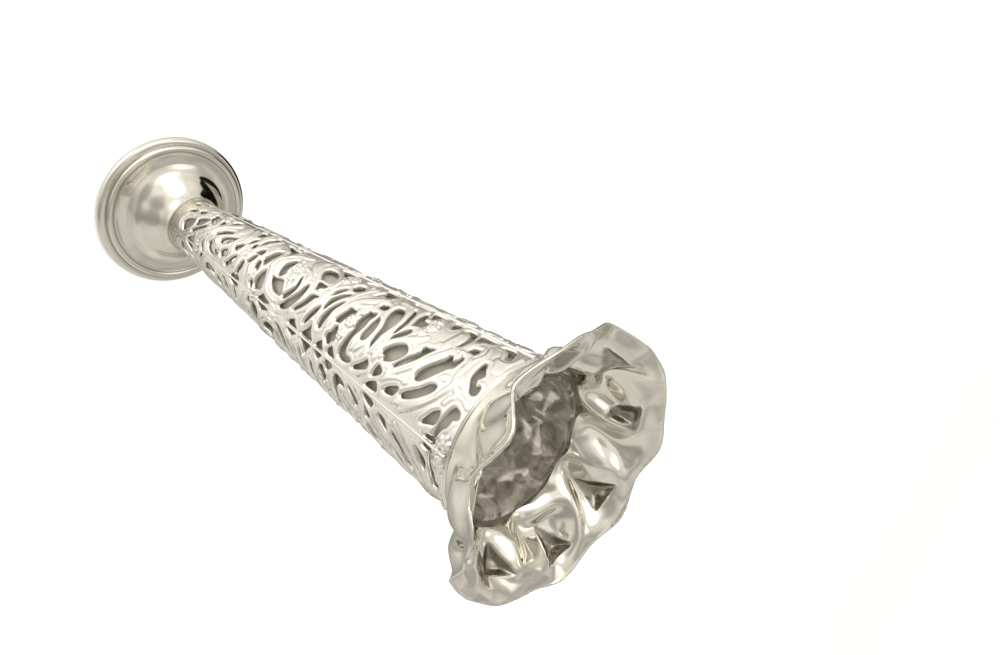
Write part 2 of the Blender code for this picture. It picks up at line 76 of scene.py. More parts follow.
# Sawn openings of one panel, each the corners of its outline as across, up, across, up and so
# on, in thousandths. Across 0 is the side ridge and 1000 the front or back ridge. The panels
# mirror each other.
OPENINGS = (
    # Curled hooks under the plain top band.
    (50, 931, 30, 945, 60, 953, 120, 958, 180, 961, 185, 956, 130, 950, 92, 944, 85, 937, 95, 930),
    (305, 945, 320, 941, 400, 942, 460, 945, 500, 951, 545, 957, 562, 963, 545, 969, 500, 968, 482, 966,
     508, 961, 484, 956, 450, 954, 420, 957, 400, 958, 370, 952),
    (685, 955, 700, 965, 735, 969, 752, 966, 757, 961, 820, 958, 860, 951, 940, 946, 945, 941, 850, 943,
     790, 947, 730, 950),
    (760, 936, 800, 940, 860, 938, 885, 926, 912, 914, 895, 914, 850, 920, 800, 925),
    (940, 948, 978, 950, 976, 930, 960, 927),
    # Long slots that sweep down towards the front ridge.
    (20, 917, 90, 915, 105, 905, 155, 893, 90, 889, 20, 884),
    (215, 917, 290, 918, 283, 912, 292, 905, 240, 905, 225, 911),
    (350, 908, 370, 912, 460, 911, 478, 905, 550, 896, 620, 887, 672, 879, 687, 872, 670, 867, 630, 867,
     570, 872, 500, 881, 450, 888, 385, 891, 400, 897, 432, 900, 405, 905),
    (635, 905, 645, 910, 672, 909, 710, 904, 750, 896, 790, 887, 830, 876, 857, 866, 843, 862, 825, 863,
     790, 870, 750, 880, 710, 889, 660, 896),
    (45, 866, 42, 876, 80, 883, 150, 887, 200, 890, 270, 889, 300, 885, 200, 884, 140, 881, 102, 876,
     93, 869, 112, 863, 75, 862),
    (405, 864, 425, 862, 480, 857, 530, 853, 580, 847, 630, 839, 680, 831, 712, 825, 688, 825, 640, 830,
     580, 837, 520, 846, 480, 848, 455, 846, 430, 849, 440, 853),
    (20, 852, 60, 851, 150, 848, 120, 842, 80, 837, 20, 835),
    (808, 850, 820, 855, 850, 852, 890, 848, 903, 838, 902, 830, 880, 831, 850, 837),
    (500, 818, 528, 827, 570, 831, 610, 827, 650, 822, 685, 813, 705, 804, 693, 800, 668, 801, 652, 792,
     618, 794, 570, 800, 528, 808),
    (20, 818, 62, 813, 145, 808, 150, 803, 100, 800, 50, 793, 20, 791),
    (208, 813, 285, 813, 292, 802, 315, 798, 250, 793, 160, 789, 85, 788, 140, 796, 212, 801),
    (348, 804, 390, 808, 430, 805, 462, 800, 492, 794, 535, 788, 490, 788, 445, 793),
    (755, 799, 788, 812, 822, 809, 872, 796, 820, 796),
    (888, 812, 955, 818, 968, 788, 930, 794, 900, 804),
    # The tall leaf loop and the band of flowers below it.
    (125, 768, 180, 778, 250, 783, 330, 788, 420, 789, 480, 785, 420, 783, 330, 782, 250, 778, 180,
     773),
    (198, 755, 240, 764, 300, 770, 380, 774, 460, 772, 550, 769, 630, 768, 690, 766, 650, 763, 600, 762,
     500, 761, 420, 756, 350, 749, 280, 745, 220, 744, 200, 748),
    (392, 739, 440, 746, 490, 750, 560, 752, 630, 750, 666, 744, 663, 738, 610, 737, 540, 738, 470,
     738),
    (775, 774, 810, 781, 845, 780, 872, 772, 900, 762, 918, 753, 895, 753, 860, 761, 820, 769),
    (20, 781, 50, 779, 62, 768, 52, 757, 20, 746),
    (382, 727, 398, 731, 430, 732, 480, 729, 540, 732, 600, 730, 660, 725, 710, 723, 765, 723, 825, 724,
     860, 729, 862, 740, 882, 744, 912, 735, 922, 724, 905, 714, 850, 711, 770, 714, 710, 716, 620, 717,
     550, 713, 500, 712, 450, 715, 398, 716, 412, 722),
    (240, 727, 270, 735, 315, 734, 315, 721, 262, 719),
    (20, 713, 60, 717, 120, 715, 155, 708, 142, 700, 190, 694, 225, 689, 150, 691, 90, 694, 40, 688, 20,
     687),
    (465, 680, 478, 690, 473, 697, 492, 698, 512, 691, 580, 688, 645, 685, 660, 671, 600, 674, 530,
     679),
    (685, 684, 720, 688, 770, 689, 812, 693, 832, 687, 875, 684, 885, 678, 850, 671, 810, 670, 788, 674,
     760, 679, 710, 679),
    (875, 693, 910, 699, 965, 709, 968, 689, 930, 685),
    (895, 667, 940, 670, 976, 677, 978, 654, 930, 659),
    (20, 664, 48, 659, 85, 645, 60, 647, 20, 652),
    (162, 651, 180, 659, 220, 663, 262, 659, 284, 652, 262, 645, 230, 642, 188, 645),
    (325, 657, 360, 656, 420, 649, 500, 643, 560, 639, 612, 637, 630, 633, 560, 632, 500, 633, 440, 638,
     380, 645),
    (438, 661, 500, 658, 580, 653, 660, 653, 750, 651, 805, 651, 815, 645, 790, 643, 720, 642, 640, 644,
     560, 649, 480, 655),
    (290, 637, 310, 640, 380, 636, 440, 631, 455, 625, 400, 626, 340, 631),
    (825, 630, 890, 634, 940, 639, 972, 645, 980, 630, 980, 611, 930, 620, 880, 626),
    (610, 627, 660, 626, 710, 625, 760, 621, 820, 617, 880, 611, 850, 610, 790, 612, 720, 616, 660,
     620),
    # The great round scroll.
    (20, 614, 70, 609, 100, 603, 170, 601, 122, 593, 92, 584, 60, 577, 20, 584),
    (276, 600, 315, 602, 343, 600, 350, 591, 338, 584, 360, 579, 322, 572, 276, 565, 220, 560, 169, 561,
     148, 568, 153, 577, 178, 586, 223, 595),
    (397, 602, 418, 603, 446, 598, 480, 594, 492, 588, 468, 585, 435, 583, 416, 579, 391, 584, 399,
     591),
    (553, 608, 570, 602, 634, 599, 702, 594, 758, 587, 812, 578, 825, 573, 790, 575, 724, 583, 657, 588,
     582, 590, 560, 596),
    (492, 567, 520, 572, 600, 574, 680, 573, 770, 567, 838, 559, 880, 550, 903, 539, 887, 534, 835, 541,
     768, 548, 712, 556, 634, 563, 567, 564),
    (440, 540, 478, 544, 511, 547, 567, 551, 623, 552, 690, 549, 748, 544, 785, 538, 770, 531, 722, 535,
     667, 541, 600, 545, 545, 543, 490, 540),
    (610, 511, 657, 516, 724, 523, 765, 528, 785, 522, 788, 511, 777, 502, 726, 492, 675, 485, 636, 482,
     638, 493, 614, 503),
    (270, 496, 326, 499, 410, 499, 489, 499, 522, 504, 590, 495, 568, 490, 511, 485, 433, 482, 375, 485,
     320, 490),
    (952, 508, 980, 492, 980, 466, 945, 474, 888, 482, 928, 493),
    (900, 587, 950, 593, 978, 600, 980, 573, 950, 572, 922, 580),
    # Leaves under the scroll.
    (605, 457, 657, 460, 712, 466, 780, 469, 840, 470, 875, 465, 885, 459, 905, 453, 862, 446, 790, 444,
     722, 447, 655, 451),
    (128, 474, 165, 468, 275, 462, 198, 458, 168, 452, 145, 444, 110, 437, 82, 430, 94, 442, 111, 452,
     120, 463),
    (20, 474, 58, 469, 20, 462),
    (20, 457, 64, 452, 20, 445),
    (272, 446, 300, 451, 326, 450, 410, 451, 480, 448, 548, 444, 568, 440, 536, 435, 500, 429, 443, 432,
     363, 434, 305, 438),
    (562, 431, 634, 434, 684, 436, 660, 429, 673, 424, 634, 422, 565, 422),
    (820, 436, 870, 441, 935, 444, 920, 436, 870, 431),
    (382, 412, 420, 416, 472, 416, 478, 405, 492, 397, 455, 402, 408, 404),
    (485, 407, 530, 410, 590, 408, 662, 401, 675, 395, 620, 398, 556, 401),
    (25, 388, 70, 401, 108, 397, 164, 398, 231, 394, 298, 393, 375, 388, 298, 384, 186, 385, 108, 388),
    (366, 382, 433, 385, 472, 379, 422, 374, 380, 377),
    (685, 389, 750, 392, 820, 390, 885, 387, 906, 382, 830, 382, 760, 383, 700, 384),
    (922, 392, 958, 398, 980, 391, 980, 366, 935, 374, 915, 383),
    (282, 368, 320, 371, 390, 368, 435, 360, 388, 360, 308, 363),
    (58, 350, 84, 358, 130, 362, 228, 361, 188, 353, 141, 349, 84, 346),
    (472, 357, 534, 356, 617, 352, 602, 344, 573, 339, 532, 346, 486, 351),
    (672, 362, 748, 362, 816, 358, 862, 352, 912, 344, 882, 339, 824, 346, 746, 351),
    # The small scroll and the openings above the collar.
    (685, 324, 724, 332, 770, 334, 794, 326, 832, 322, 804, 314, 746, 313, 710, 318),
    (425, 327, 490, 325, 546, 321, 603, 312, 646, 303, 638, 293, 588, 292, 532, 299, 486, 310, 458,
     321),
    (368, 300, 406, 302, 446, 296, 492, 285, 548, 273, 592, 266, 552, 265, 498, 274, 441, 280, 396,
     293),
    (776, 304, 826, 306, 874, 301, 896, 289, 885, 277, 838, 268, 770, 263, 715, 266, 780, 275, 806, 286,
     804, 296),
    (820, 240, 904, 246, 980, 253, 980, 246, 930, 242, 872, 239),
    (95, 277, 130, 284, 176, 280, 248, 272, 200, 267, 150, 269),
    (292, 259, 344, 254, 396, 249, 334, 245, 284, 243, 290, 251),
    (256, 231, 308, 235, 388, 234, 452, 238, 438, 226, 392, 217, 367, 210, 287, 213, 220, 208, 238,
     220),
    (394, 207, 420, 211, 502, 209, 582, 203, 642, 193, 614, 186, 520, 183, 452, 190, 412, 198),
    (528, 222, 580, 221, 670, 210, 750, 200, 798, 191, 780, 186, 712, 191, 632, 204, 564, 214),
    (830, 206, 892, 206, 938, 208, 980, 203, 980, 180, 968, 181, 924, 188, 888, 197),
    (248, 172, 286, 178, 334, 177, 378, 173, 358, 164, 320, 160, 274, 167),
    (540, 173, 588, 178, 658, 178, 750, 174, 828, 165, 878, 158, 828, 153, 724, 147, 632, 151, 574,
     161),
    (332, 152, 390, 154, 424, 145, 450, 133, 398, 137, 350, 143),
    (112, 124, 150, 133, 208, 131, 190, 121, 140, 119),
    (20, 157, 60, 151, 20, 143),
)

# Chased ribbons and leaves that stand up from the sheet, in thousandths too: the start, the
# middle and the end, each across and up, and the half-widths there.
RIBBONS = (
    (270, 932, 540, 930, 600, 970, 3, 5, 4), (650, 972, 660, 942, 930, 934, 4, 5, 3),
    (120, 970, 250, 960, 320, 968, 6, 12, 6), (160, 925, 560, 934, 940, 870, 3, 5, 4),
    (300, 917, 660, 924, 930, 850, 3, 4, 3), (160, 903, 480, 874, 780, 822, 4, 6, 4),
    (560, 914, 620, 893, 790, 858, 6, 6, 5), (720, 915, 850, 886, 930, 830, 4, 5, 4),
    (130, 868, 260, 873, 440, 864, 6, 8, 4), (350, 862, 560, 836, 720, 790, 3, 5, 4),
    (360, 838, 460, 815, 560, 785, 4, 6, 4), (750, 862, 790, 832, 900, 800, 3, 4, 3),
    (690, 830, 780, 800, 930, 770, 3, 5, 3), (100, 780, 380, 797, 760, 770, 4, 5, 4),
    (700, 785, 880, 770, 860, 735, 4, 5, 4), (200, 768, 400, 780, 780, 762, 3, 4, 3),
    (310, 742, 550, 758, 760, 742, 4, 4, 5), (360, 733, 560, 732, 780, 732, 4, 4, 6),
    (80, 742, 120, 764, 210, 776, 10, 10, 4), (200, 718, 340, 690, 560, 668, 5, 7, 4),
    (330, 722, 380, 702, 430, 686, 4, 5, 3), (140, 680, 460, 660, 880, 667, 4, 5, 3),
    (120, 668, 300, 658, 500, 632, 3, 4, 3), (330, 645, 540, 628, 860, 606, 3, 4, 3),
    (460, 616, 680, 606, 880, 570, 4, 5, 3), (110, 560, 160, 602, 390, 614, 8, 6, 4),
    (360, 590, 720, 590, 920, 535, 4, 5, 4), (930, 545, 920, 482, 620, 474, 4, 6, 5),
    (660, 473, 340, 464, 150, 512, 5, 6, 4), (400, 556, 660, 560, 840, 530, 3, 4, 3),
    (840, 540, 850, 492, 640, 478, 3, 4, 3), (600, 480, 380, 474, 250, 508, 3, 4, 3),
    (60, 548, 160, 536, 340, 560, 8, 11, 4), (330, 530, 440, 556, 640, 530, 4, 5, 3),
    (600, 530, 590, 505, 600, 482, 3, 3, 3), (130, 434, 280, 456, 580, 462, 5, 5, 3),
    (260, 430, 420, 426, 580, 416, 4, 5, 3), (620, 410, 740, 420, 900, 424, 5, 9, 5),
    (120, 412, 380, 396, 640, 386, 4, 6, 4), (440, 388, 640, 374, 860, 368, 3, 5, 4),
    (60, 376, 220, 372, 460, 352, 4, 6, 4), (100, 330, 380, 352, 640, 334, 5, 7, 4),
    (640, 345, 760, 340, 920, 330, 4, 5, 3), (130, 312, 260, 318, 420, 316, 9, 12, 5),
    (180, 302, 380, 270, 640, 246, 4, 6, 4), (480, 296, 620, 276, 720, 294, 4, 7, 5),
    (560, 260, 860, 252, 940, 300, 3, 5, 3), (120, 268, 320, 238, 520, 236, 4, 5, 3),
    (420, 242, 640, 222, 880, 176, 4, 5, 4), (460, 216, 640, 200, 820, 172, 3, 4, 3),
    (230, 204, 380, 188, 520, 176, 4, 5, 4), (120, 200, 180, 176, 260, 152, 5, 6, 4),
    (320, 160, 460, 150, 560, 138, 4, 6, 4), (560, 145, 760, 136, 920, 160, 4, 6, 4),
)

# Flowers, rosettes and curl beads: across, up and radius in thousandths, and petals.
BLOSSOMS = (
    (1000, 960, 17.5, 8), (925, 966, 12.5, 5), (580, 704, 13, 6), (740, 700, 9, 5),
    (470, 703, 8, 5), (240, 826, 11, 6), (340, 822, 9, 5), (150, 822, 8, 5),
    (400, 520, 11, 6), (520, 524, 10, 6), (330, 510, 7, 5), (140, 625, 10, 6),
    (220, 618, 8, 5), (930, 450, 10, 6), (230, 250, 9, 5), (120, 240, 8, 5),
    (940, 225, 9, 6), (475, 966, 5, 0), (735, 966, 4.5, 0), (690, 795, 6, 0),
    (330, 902, 5, 0), (480, 600, 6, 0), (790, 628, 5, 0), (400, 742, 4.5, 0),
)

# Sections of the mouth from the body to the edge, as (share outwards, share upwards).
LOBE_SECTION = (
    (0.0, 0.0), (0.080, 0.10), (0.255, 0.22), (0.470, 0.38), (0.675, 0.60), (0.823, 0.84), (1.0, 1.0),
)
NOTCH_SECTION = (
    (0.0, 0.0), (0.039, 0.23), (0.180, 0.45), (0.381, 0.66), (0.596, 0.81), (0.785, 0.915), (1.0, 1.0),
)

# The mouth was crimped by hand, so each lobe and each notch has its own reach and rise.
LOBE_REACH = (1.00, 1.04, 0.90, 0.96, 1.00, 1.00, 1.04, 1.05, 1.07, 0.96)
LOBE_RISE = (0.97, 1.10, 0.64, 0.79, 0.93, 1.00, 1.05, 0.96, 0.53, 0.66)
NOTCH_REACH = (0.92, 0.79, 0.94, 0.90, 0.90, 0.94, 0.96, 1.05, 0.98, 0.92)
NOTCH_RISE = (0.78, 0.88, 0.65, 0.81, 0.90, 0.92, 1.00, 0.87, 0.62, 0.58)

# Creased pits inside the mouth: place round it in pleats from the first lobe, place from the
# throat to the edge, and depth as a share of the full depth.
PITS = (
    (3.08, 0.50, 1.0), (4.10, 0.62, 1.0), (5.10, 0.60, 1.0), (6.40, 0.53, 1.0), (7.60, 0.53, 0.9),
    (8.75, 0.56, 0.7),
)

# Points of the foot's half section, as (radius, height): the bell from the neck down, and the
# inside from the standing edge up.
FOOT_BELL = (
    (0.00930, 0.0180), (0.00950, 0.0162), (0.01020, 0.0141), (0.01170, 0.0121), (0.01330, 0.0106),
    (0.01440, 0.0092), (0.01530, 0.0078), (0.01630, 0.0066), (0.01760, 0.0057), (0.01910, 0.0051),
)
FOOT_INSIDE = (
    (0.02430, 0.0000), (0.02425, 0.0012), (0.02410, 0.0026), (0.02300, 0.0037), (0.01900, 0.0042),
    (0.01500, 0.0060), (0.01390, 0.0078), (0.01100, 0.0118), (0.00860, 0.0150), (0.00840, 0.0180),
)

# The tent as the silver sees it: the side its lamps stand on, its grey from the far side to
# the lit side, then zones as a direction, the angles in degrees where the zone is full and
# where it ends, and its depth or its power.
LIT_SIDE = (-0.920, -0.393, 0.0)
TENT_GREYS = ((0.0, 0.82), (0.38, 0.74), (0.50, 0.52), (0.60, 0.62), (0.74, 0.94), (1.0, 1.18))
DIM_ZONES = (
    ((-0.31, -0.76, 0.57), 8.0, 30.0, 0.50),
    ((0.31, 0.76, -0.57), 10.0, 70.0, 0.48),
    ((0.65, 0.45, 0.61), 10.0, 30.0, 0.25),
    ((0.30, -0.90, 0.35), 6.0, 24.0, 0.32),
    ((0.20, 0.55, 0.80), 5.0, 18.0, 0.35),
)
BRIGHT_ZONES = (
    ((-0.95, -0.15, 0.35), 12.0, 24.0, 1.6),
    ((-0.70, -0.65, -0.30), 8.0, 22.0, 1.3),
    ((-0.55, 0.40, 0.75), 6.0, 16.0, 1.0),
    ((-0.10, -0.45, -0.88), 12.0, 48.0, 0.55),
)

# The camera's own right, up and back, its place, where the lamps point, and the floor's half
# side and height.
CAMERA_AXES = (
    (-0.27530, 0.64605, 0.71191), (-0.91069, 0.06197, -0.40840), (-0.30797, -0.76078, 0.57130),
)
CAMERA_PLACE = (-0.08247, -0.14284, 0.27019)
LAMP_TARGET = (0.0, 0.0, 0.10)
FLOOR_REACH = 6.0
FLOOR_HEIGHT = -0.00002


class VaseSizes(bpy.types.PropertyGroup):
    """Sizes of the vase's pieces, at the values the CAD was made with."""

    body_bottom: bpy.props.FloatProperty(
        name="Body bottom", description="Height of the pierced body's lower edge",
        default=0.0180, unit="LENGTH",
    )
    body_top: bpy.props.FloatProperty(
        name="Body top", description="Height of the pierced body's upper edge",
        default=0.1760, unit="LENGTH",
    )
    bottom_radius: bpy.props.FloatProperty(
        name="Bottom radius", description="Outer radius of the body at its lower edge",
        default=0.00905, unit="LENGTH",
    )
    top_radius: bpy.props.FloatProperty(
        name="Top radius", description="Outer radius of the body at its upper edge",
        default=0.02186, unit="LENGTH",
    )
    sheet: bpy.props.FloatProperty(
        name="Sheet", description="Thickness of the sawn sheet", default=0.0008, unit="LENGTH",
    )
    chasing: bpy.props.FloatProperty(
        name="Chasing", description="How far the chased ribbons stand up from the sheet",
        default=0.00056, unit="LENGTH",
    )
    saw_width: bpy.props.FloatProperty(
        name="Saw width", description="How much wider than drawn each opening is sawn, each side",
        default=0.00010, unit="LENGTH",
    )
    edge_round: bpy.props.FloatProperty(
        name="Edge round", description="How far a strand is rounded over from its sawn edge",
        default=0.00095, unit="LENGTH",
    )
    mouth_radius: bpy.props.FloatProperty(
        name="Mouth radius", description="Reach of a full lobe of the mouth",
        default=0.0359, unit="LENGTH",
    )
    mouth_height: bpy.props.FloatProperty(
        name="Mouth height", description="Rise of a full lobe above the body",
        default=0.02015, unit="LENGTH",
    )
    mouth_sheet: bpy.props.FloatProperty(
        name="Mouth sheet", description="Thickness of the crimped sheet",
        default=0.0007, unit="LENGTH",
    )
    pit_depth: bpy.props.FloatProperty(
        name="Pit depth", description="Depth of the creased pit in each lobe",
        default=0.0016, unit="LENGTH",
    )
    liner_lip: bpy.props.FloatProperty(
        name="Liner lip", description="Outer radius of the glass liner's lip",
        default=0.0200, unit="LENGTH",
    )
    liner_top: bpy.props.FloatProperty(
        name="Liner top", description="Height of the glass liner's lip",
        default=0.1802, unit="LENGTH",
    )
    liner_bottom: bpy.props.FloatProperty(
        name="Liner bottom", description="Height of the glass liner's round end",
        default=0.0632, unit="LENGTH",
    )


class VaseFinish(bpy.types.PropertyGroup):
    """Colours and finish of the silver and the glass."""

    silver: bpy.props.FloatVectorProperty(
        name="Silver", description="Colour of clean polished silver", subtype="COLOR", size=4,
        default=(0.895, 0.875, 0.83, 1.0),
    )
    # Plain silver is painted darker than the body's silver, as shade on the polished foot and mouth.
    shaded_plain_silver: bpy.props.FloatVectorProperty(
        name="Shaded plain silver", description="Colour of the plain silver of the foot and the mouth",
        subtype="COLOR", size=4, default=(0.75, 0.725, 0.655, 1.0),
    )
    # Tarnish is the colour of the dull film in the hollows, and also of the painted shade on the pierced
    # sheet's inner face.
    tarnish_and_shade: bpy.props.FloatVectorProperty(
        name="Tarnish and shade", description="Colour of the dull film left in the hollows",
        subtype="COLOR", size=4, default=(0.17, 0.145, 0.11, 1.0),
    )
    glass: bpy.props.FloatVectorProperty(
        name="Frosted glass", description="Tint of the acid-frosted glass", subtype="COLOR",
        size=4, default=(0.97, 0.92, 0.81, 1.0),
    )
    body_polish: bpy.props.FloatProperty(
        name="Body roughness", description="Roughness of the chased body", default=0.19,
        min=0.0, max=1.0,
    )
    plain_polish: bpy.props.FloatProperty(
        name="Plain roughness", description="Roughness of the plain polished silver",
        default=0.09, min=0.0, max=1.0,
    )


def sizes():
    """The scene's sizes."""
    return bpy.context.scene.vase_sizes


def finish():
    """The scene's finishes."""
    return bpy.context.scene.vase_finish


# Numbers, curves and grids.
def smoothstep(low, high, value):
    """0 below low, 1 above high, and 3t^2 - 2t^3 between them."""
    t = np.clip((value - low) / (high - low), 0.0, 1.0)
    return t * t * (3.0 - 2.0 * t)


def waves(places, wavelength, seed):
    """Soft noise from -1 to 1: a sum of twelve sine waves in seeded directions."""
    random = np.random.default_rng(seed)
    total = np.zeros(places.shape[:-1])
    for _ in range(WAVES):
        way = random.normal(size=3)
        way *= math.tau / (wavelength * random.uniform(0.7, 1.5) * np.linalg.norm(way))
        total += np.sin(places @ way + random.uniform(0.0, math.tau))
    return total / WAVES * 2.0


def smooth_curve(keys, shares):
    """Catmull-Rom curve through equally spaced keys, read at shares from 0 to 1."""
    keys = np.array(keys, float)
    spans = len(keys) - 1
    slopes = np.gradient(keys, axis=0)
    along = np.clip(np.asarray(shares, float), 0.0, 1.0) * spans
    first = np.minimum(along.astype(int), spans - 1)
    t = (along - first)[..., None]
    a, b = keys[first], keys[first + 1]
    m, n = slopes[first], slopes[first + 1]
    return (
        (2 * t**3 - 3 * t**2 + 1) * a
        + (t**3 - 2 * t**2 + t) * m
        + (3 * t**2 - 2 * t**3) * b
        + (t**3 - t**2) * n
    )


def full_turn(steps):
    """Equal steps of one turn, in radians."""
    return np.linspace(0.0, math.tau, steps, endpoint=False)


def on_circle(radius, angle, height):
    """Places at a radius, an angle and a height."""
    return np.stack([radius * np.cos(angle), radius * np.sin(angle), height], axis=-1)


def arc(centre, radii, start, end, count):
    """Points of an ellipse's arc, from one angle in degrees to another."""
    angle = np.radians(np.linspace(start, end, count))
    return np.stack([centre[0] + radii[0] * np.cos(angle), centre[1] + radii[1] * np.sin(angle)], axis=1)


def turned(profile, steps):
    """Rings of a profile of (radius, height) turned round the axis in equal steps."""
    turn = full_turn(steps)
    return on_circle(profile[:, :1], turn, profile[:, 1:] + 0.0 * turn)


def numbered(rows, columns):
    """The number of each point of a grid."""
    return np.arange(rows * columns).reshape(rows, columns)


def ring_quads(rows, columns, closed=False):
    """Quads of a grid whose rows are rings. A closed one joins its last ring to its first, and
    its quads run the other way round."""
    number = numbered(rows, columns)
    if closed:
        number = np.concatenate([number, number[:1]])
    after = np.roll(number, -1, axis=1)
    corners = (number[:-1], after[:-1], after[1:], number[1:])
    quads = np.stack([corner.ravel() for corner in corners], axis=1)
    return quads[:, [0, 3, 2, 1]] if closed else quads


def end_fans(rows, columns):
    """Triangles that close both ends of a tube of rings on two points added after its own."""
    number = numbered(rows, columns)
    count = rows * columns
    low, high = number[0], number[-1]
    low_fan = np.stack([np.full(columns, count), np.roll(low, -1), low], axis=1)
    high_fan = np.stack([np.full(columns, count + 1), high, np.roll(high, -1)], axis=1)
    return np.concatenate([low_fan, high_fan])


def merged(parts):
    """Several (points, polygons) pairs as one."""
    points, polygons, count = [], [], 0
    for one_points, one_polygons in parts:
        points.append(one_points)
        polygons += [part + count for part in one_polygons]
        count += len(one_points)
    return np.concatenate(points), polygons


# Objects.
def add_object(name, data):
    """A new object of the scene."""
    made = bpy.data.objects.new(name, data)
    bpy.context.scene.collection.objects.link(made)
    return made


def add_piece(name, points, polygons, material, node, hollow):
    """Put a smooth-shaded piece into the scene, riding on the root in place of its CAD node.

    Its points are an (n, 3) array and its polygons a list of (m, k) arrays of corners. hollow
    is a mask of the points where dull film is left; on the pierced sheet it also holds painted
    shade.
    """
    mesh = bpy.data.meshes.new(name)
    corners = np.concatenate([part.ravel() for part in polygons]).astype(np.int32)
    counts = np.concatenate([np.full(len(part), part.shape[1]) for part in polygons])
    starts = np.concatenate([[0], np.cumsum(counts)[:-1]]).astype(np.int32)
    mesh.vertices.add(len(points))
    mesh.vertices.foreach_set("co", np.asarray(points, np.float32).ravel())
    mesh.loops.add(len(corners))
    mesh.loops.foreach_set("vertex_index", corners)
    mesh.polygons.add(len(counts))
    mesh.polygons.foreach_set("loop_start", starts)
    mesh.update(calc_edges=True)
    mesh.validate()
    mesh.polygons.foreach_set("use_smooth", np.ones(len(mesh.polygons), bool))
    # The hollow attribute holds the dull film and, on the pierced sheet, painted shade.
    mesh.attributes.new("hollow", "FLOAT", "POINT").data.foreach_set("value", hollow)
    mesh.materials.append(material)
    piece = add_object(name, mesh)
    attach(piece, "root")
    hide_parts(node)


# The pierced body.
def pattern_length():
    """Length of one full share of the pattern's height, which runs from 0.100 to 0.978."""
    s = sizes()
    return (s.body_top - s.body_bottom) / (PATTERN_TOP - PATTERN_FOOT)


def share_height(share):
    """Height of a share of the pattern."""
    return sizes().body_bottom + (share - PATTERN_FOOT) * pattern_length()


def cone_radius(height):
    """Radius of the cone's outer face: straight from the bottom radius to the top radius."""
    s = sizes()
    share = (height - s.body_bottom) / (s.body_top - s.body_bottom)
    return s.bottom_radius + (s.top_radius - s.bottom_radius) * share


def unroll(across, share):
    """Place on the flat sheet of a point of the cone: x = s sin(a sin c), y = s cos(a sin c),
    with s the way from the cone's tip, c its half-angle and a the angle from mid panel."""
    s = sizes()
    slope = math.atan2(s.top_radius - s.bottom_radius, s.body_top - s.body_bottom)
    way = cone_radius(share_height(share)) / math.sin(slope)
    swung = (across - 0.5) * PANEL_TURN * math.sin(slope)
    return way * np.sin(swung), way * np.cos(swung)


def stroke_chain(ribbon):
    """A quadratic through a ribbon's three points, as places on the unrolled sheet and
    half-widths in metres at equal steps. It is drawn a tenth wider than its row says."""
    start, middle, end, widths = ribbon[0:2], ribbon[2:4], ribbon[4:6], ribbon[6:9] * 1.1
    t = np.linspace(0.0, 1.0, STROKE_STEPS + 1)
    control = 2 * middle - (start + end) / 2
    line = (
        ((1 - t) ** 2)[:, None] * start
        + (2 * t * (1 - t))[:, None] * control
        + (t**2)[:, None] * end
    )
    half = (1 - t) * (1 - 2 * t) * widths[0] + 4 * t * (1 - t) * widths[1] + t * (2 * t - 1) * widths[2]
    return np.stack(unroll(line[:, 0], line[:, 1]), axis=1), half * pattern_length()


def off_segment(x, y, a, b):
    """Distance of each place from a segment, and how far along it the nearest point lies."""
    way = b - a
    t = np.clip(((x - a[0]) * way[0] + (y - a[1]) * way[1]) / (way @ way), 0.0, 1.0)
    return np.hypot(x - a[0] - t * way[0], y - a[1] - t * way[1]), t


def across_chain(x, y, chain, half):
    """Distance of each place from the middle of a chain of segments, as a share of the
    half-width there, at the segment whose side is nearest."""
    nearest = np.full(x.shape, 1e9)
    share = np.full(x.shape, 1e9)
    for a, b, wide, narrow in zip(chain[:-1], chain[1:], half[:-1], half[1:]):
        off, t = off_segment(x, y, a, b)
        width = wide + (narrow - wide) * t
        closer = off - width < nearest
        nearest = np.where(closer, off - width, nearest)
        share = np.where(closer, off / width, share)
    return share


def near_line(x, y, line, reach):
    """Which places lie within reach of a line's own box."""
    low, high = line.min(0) - reach, line.max(0) + reach
    return (x > low[0]) & (x < high[0]) & (y > low[1]) & (y < high[1])


def opening_outline(corners):
    """An opening's closed outline on the unrolled sheet. Each corner is cut once, at a fifth of
    the way along the sides that meet there."""
    ring = np.array(corners).reshape(-1, 2) / DRAWN
    after = np.roll(ring, -1, axis=0)
    ring = np.stack([ring * 0.8 + after * 0.2, ring * 0.2 + after * 0.8], axis=1).reshape(-1, 2)
    return np.stack(unroll(ring[:, 0], ring[:, 1]), axis=1)


def from_outline(x, y, ring):
    """Distance of each place from a closed outline, negative inside it. A place is inside when
    a line from it to the right crosses an odd number of sides."""
    nearest = np.full(x.shape, 1e9)
    inside = np.zeros(x.shape, bool)
    for a, b in zip(ring, np.roll(ring, -1, axis=0)):
        nearest = np.minimum(nearest, off_segment(x, y, a, b)[0])
        crossing = a[0] + (y - a[1]) * (b[0] - a[0]) / ((b[1] - a[1]) or 1e-12)
        inside ^= ((a[1] > y) != (b[1] > y)) & (x < crossing)
    return np.where(inside, -nearest, nearest)


def edge_distances(across, share):
    """Two distances from the nearest sawn edge over one panel, in metres, below zero in an
    opening: the true one, and a soft one, -k log(sum of exp(-d / k)) over the openings, whose
    crest between two openings is rounded."""
    x, y = unroll(across, share)
    reach, blend = 0.004, 0.00014
    field = np.full(x.shape, reach)
    crowd = np.full(x.shape, math.exp(-reach / blend))
    for corners in OPENINGS:
        ring = opening_outline(corners)
        near = near_line(x, y, ring, reach)
        off = from_outline(x[near], y[near], ring) - sizes().saw_width
        field[near] = np.minimum(field[near], off)
        crowd[near] += np.exp(-off / blend)
    around = PANEL_TURN * cone_radius(share_height(share))
    band = (RIDGE_BAND - np.minimum(across, 1.0 - across)) * around
    return np.maximum(field, band), np.maximum(-blend * np.log(crowd), band)


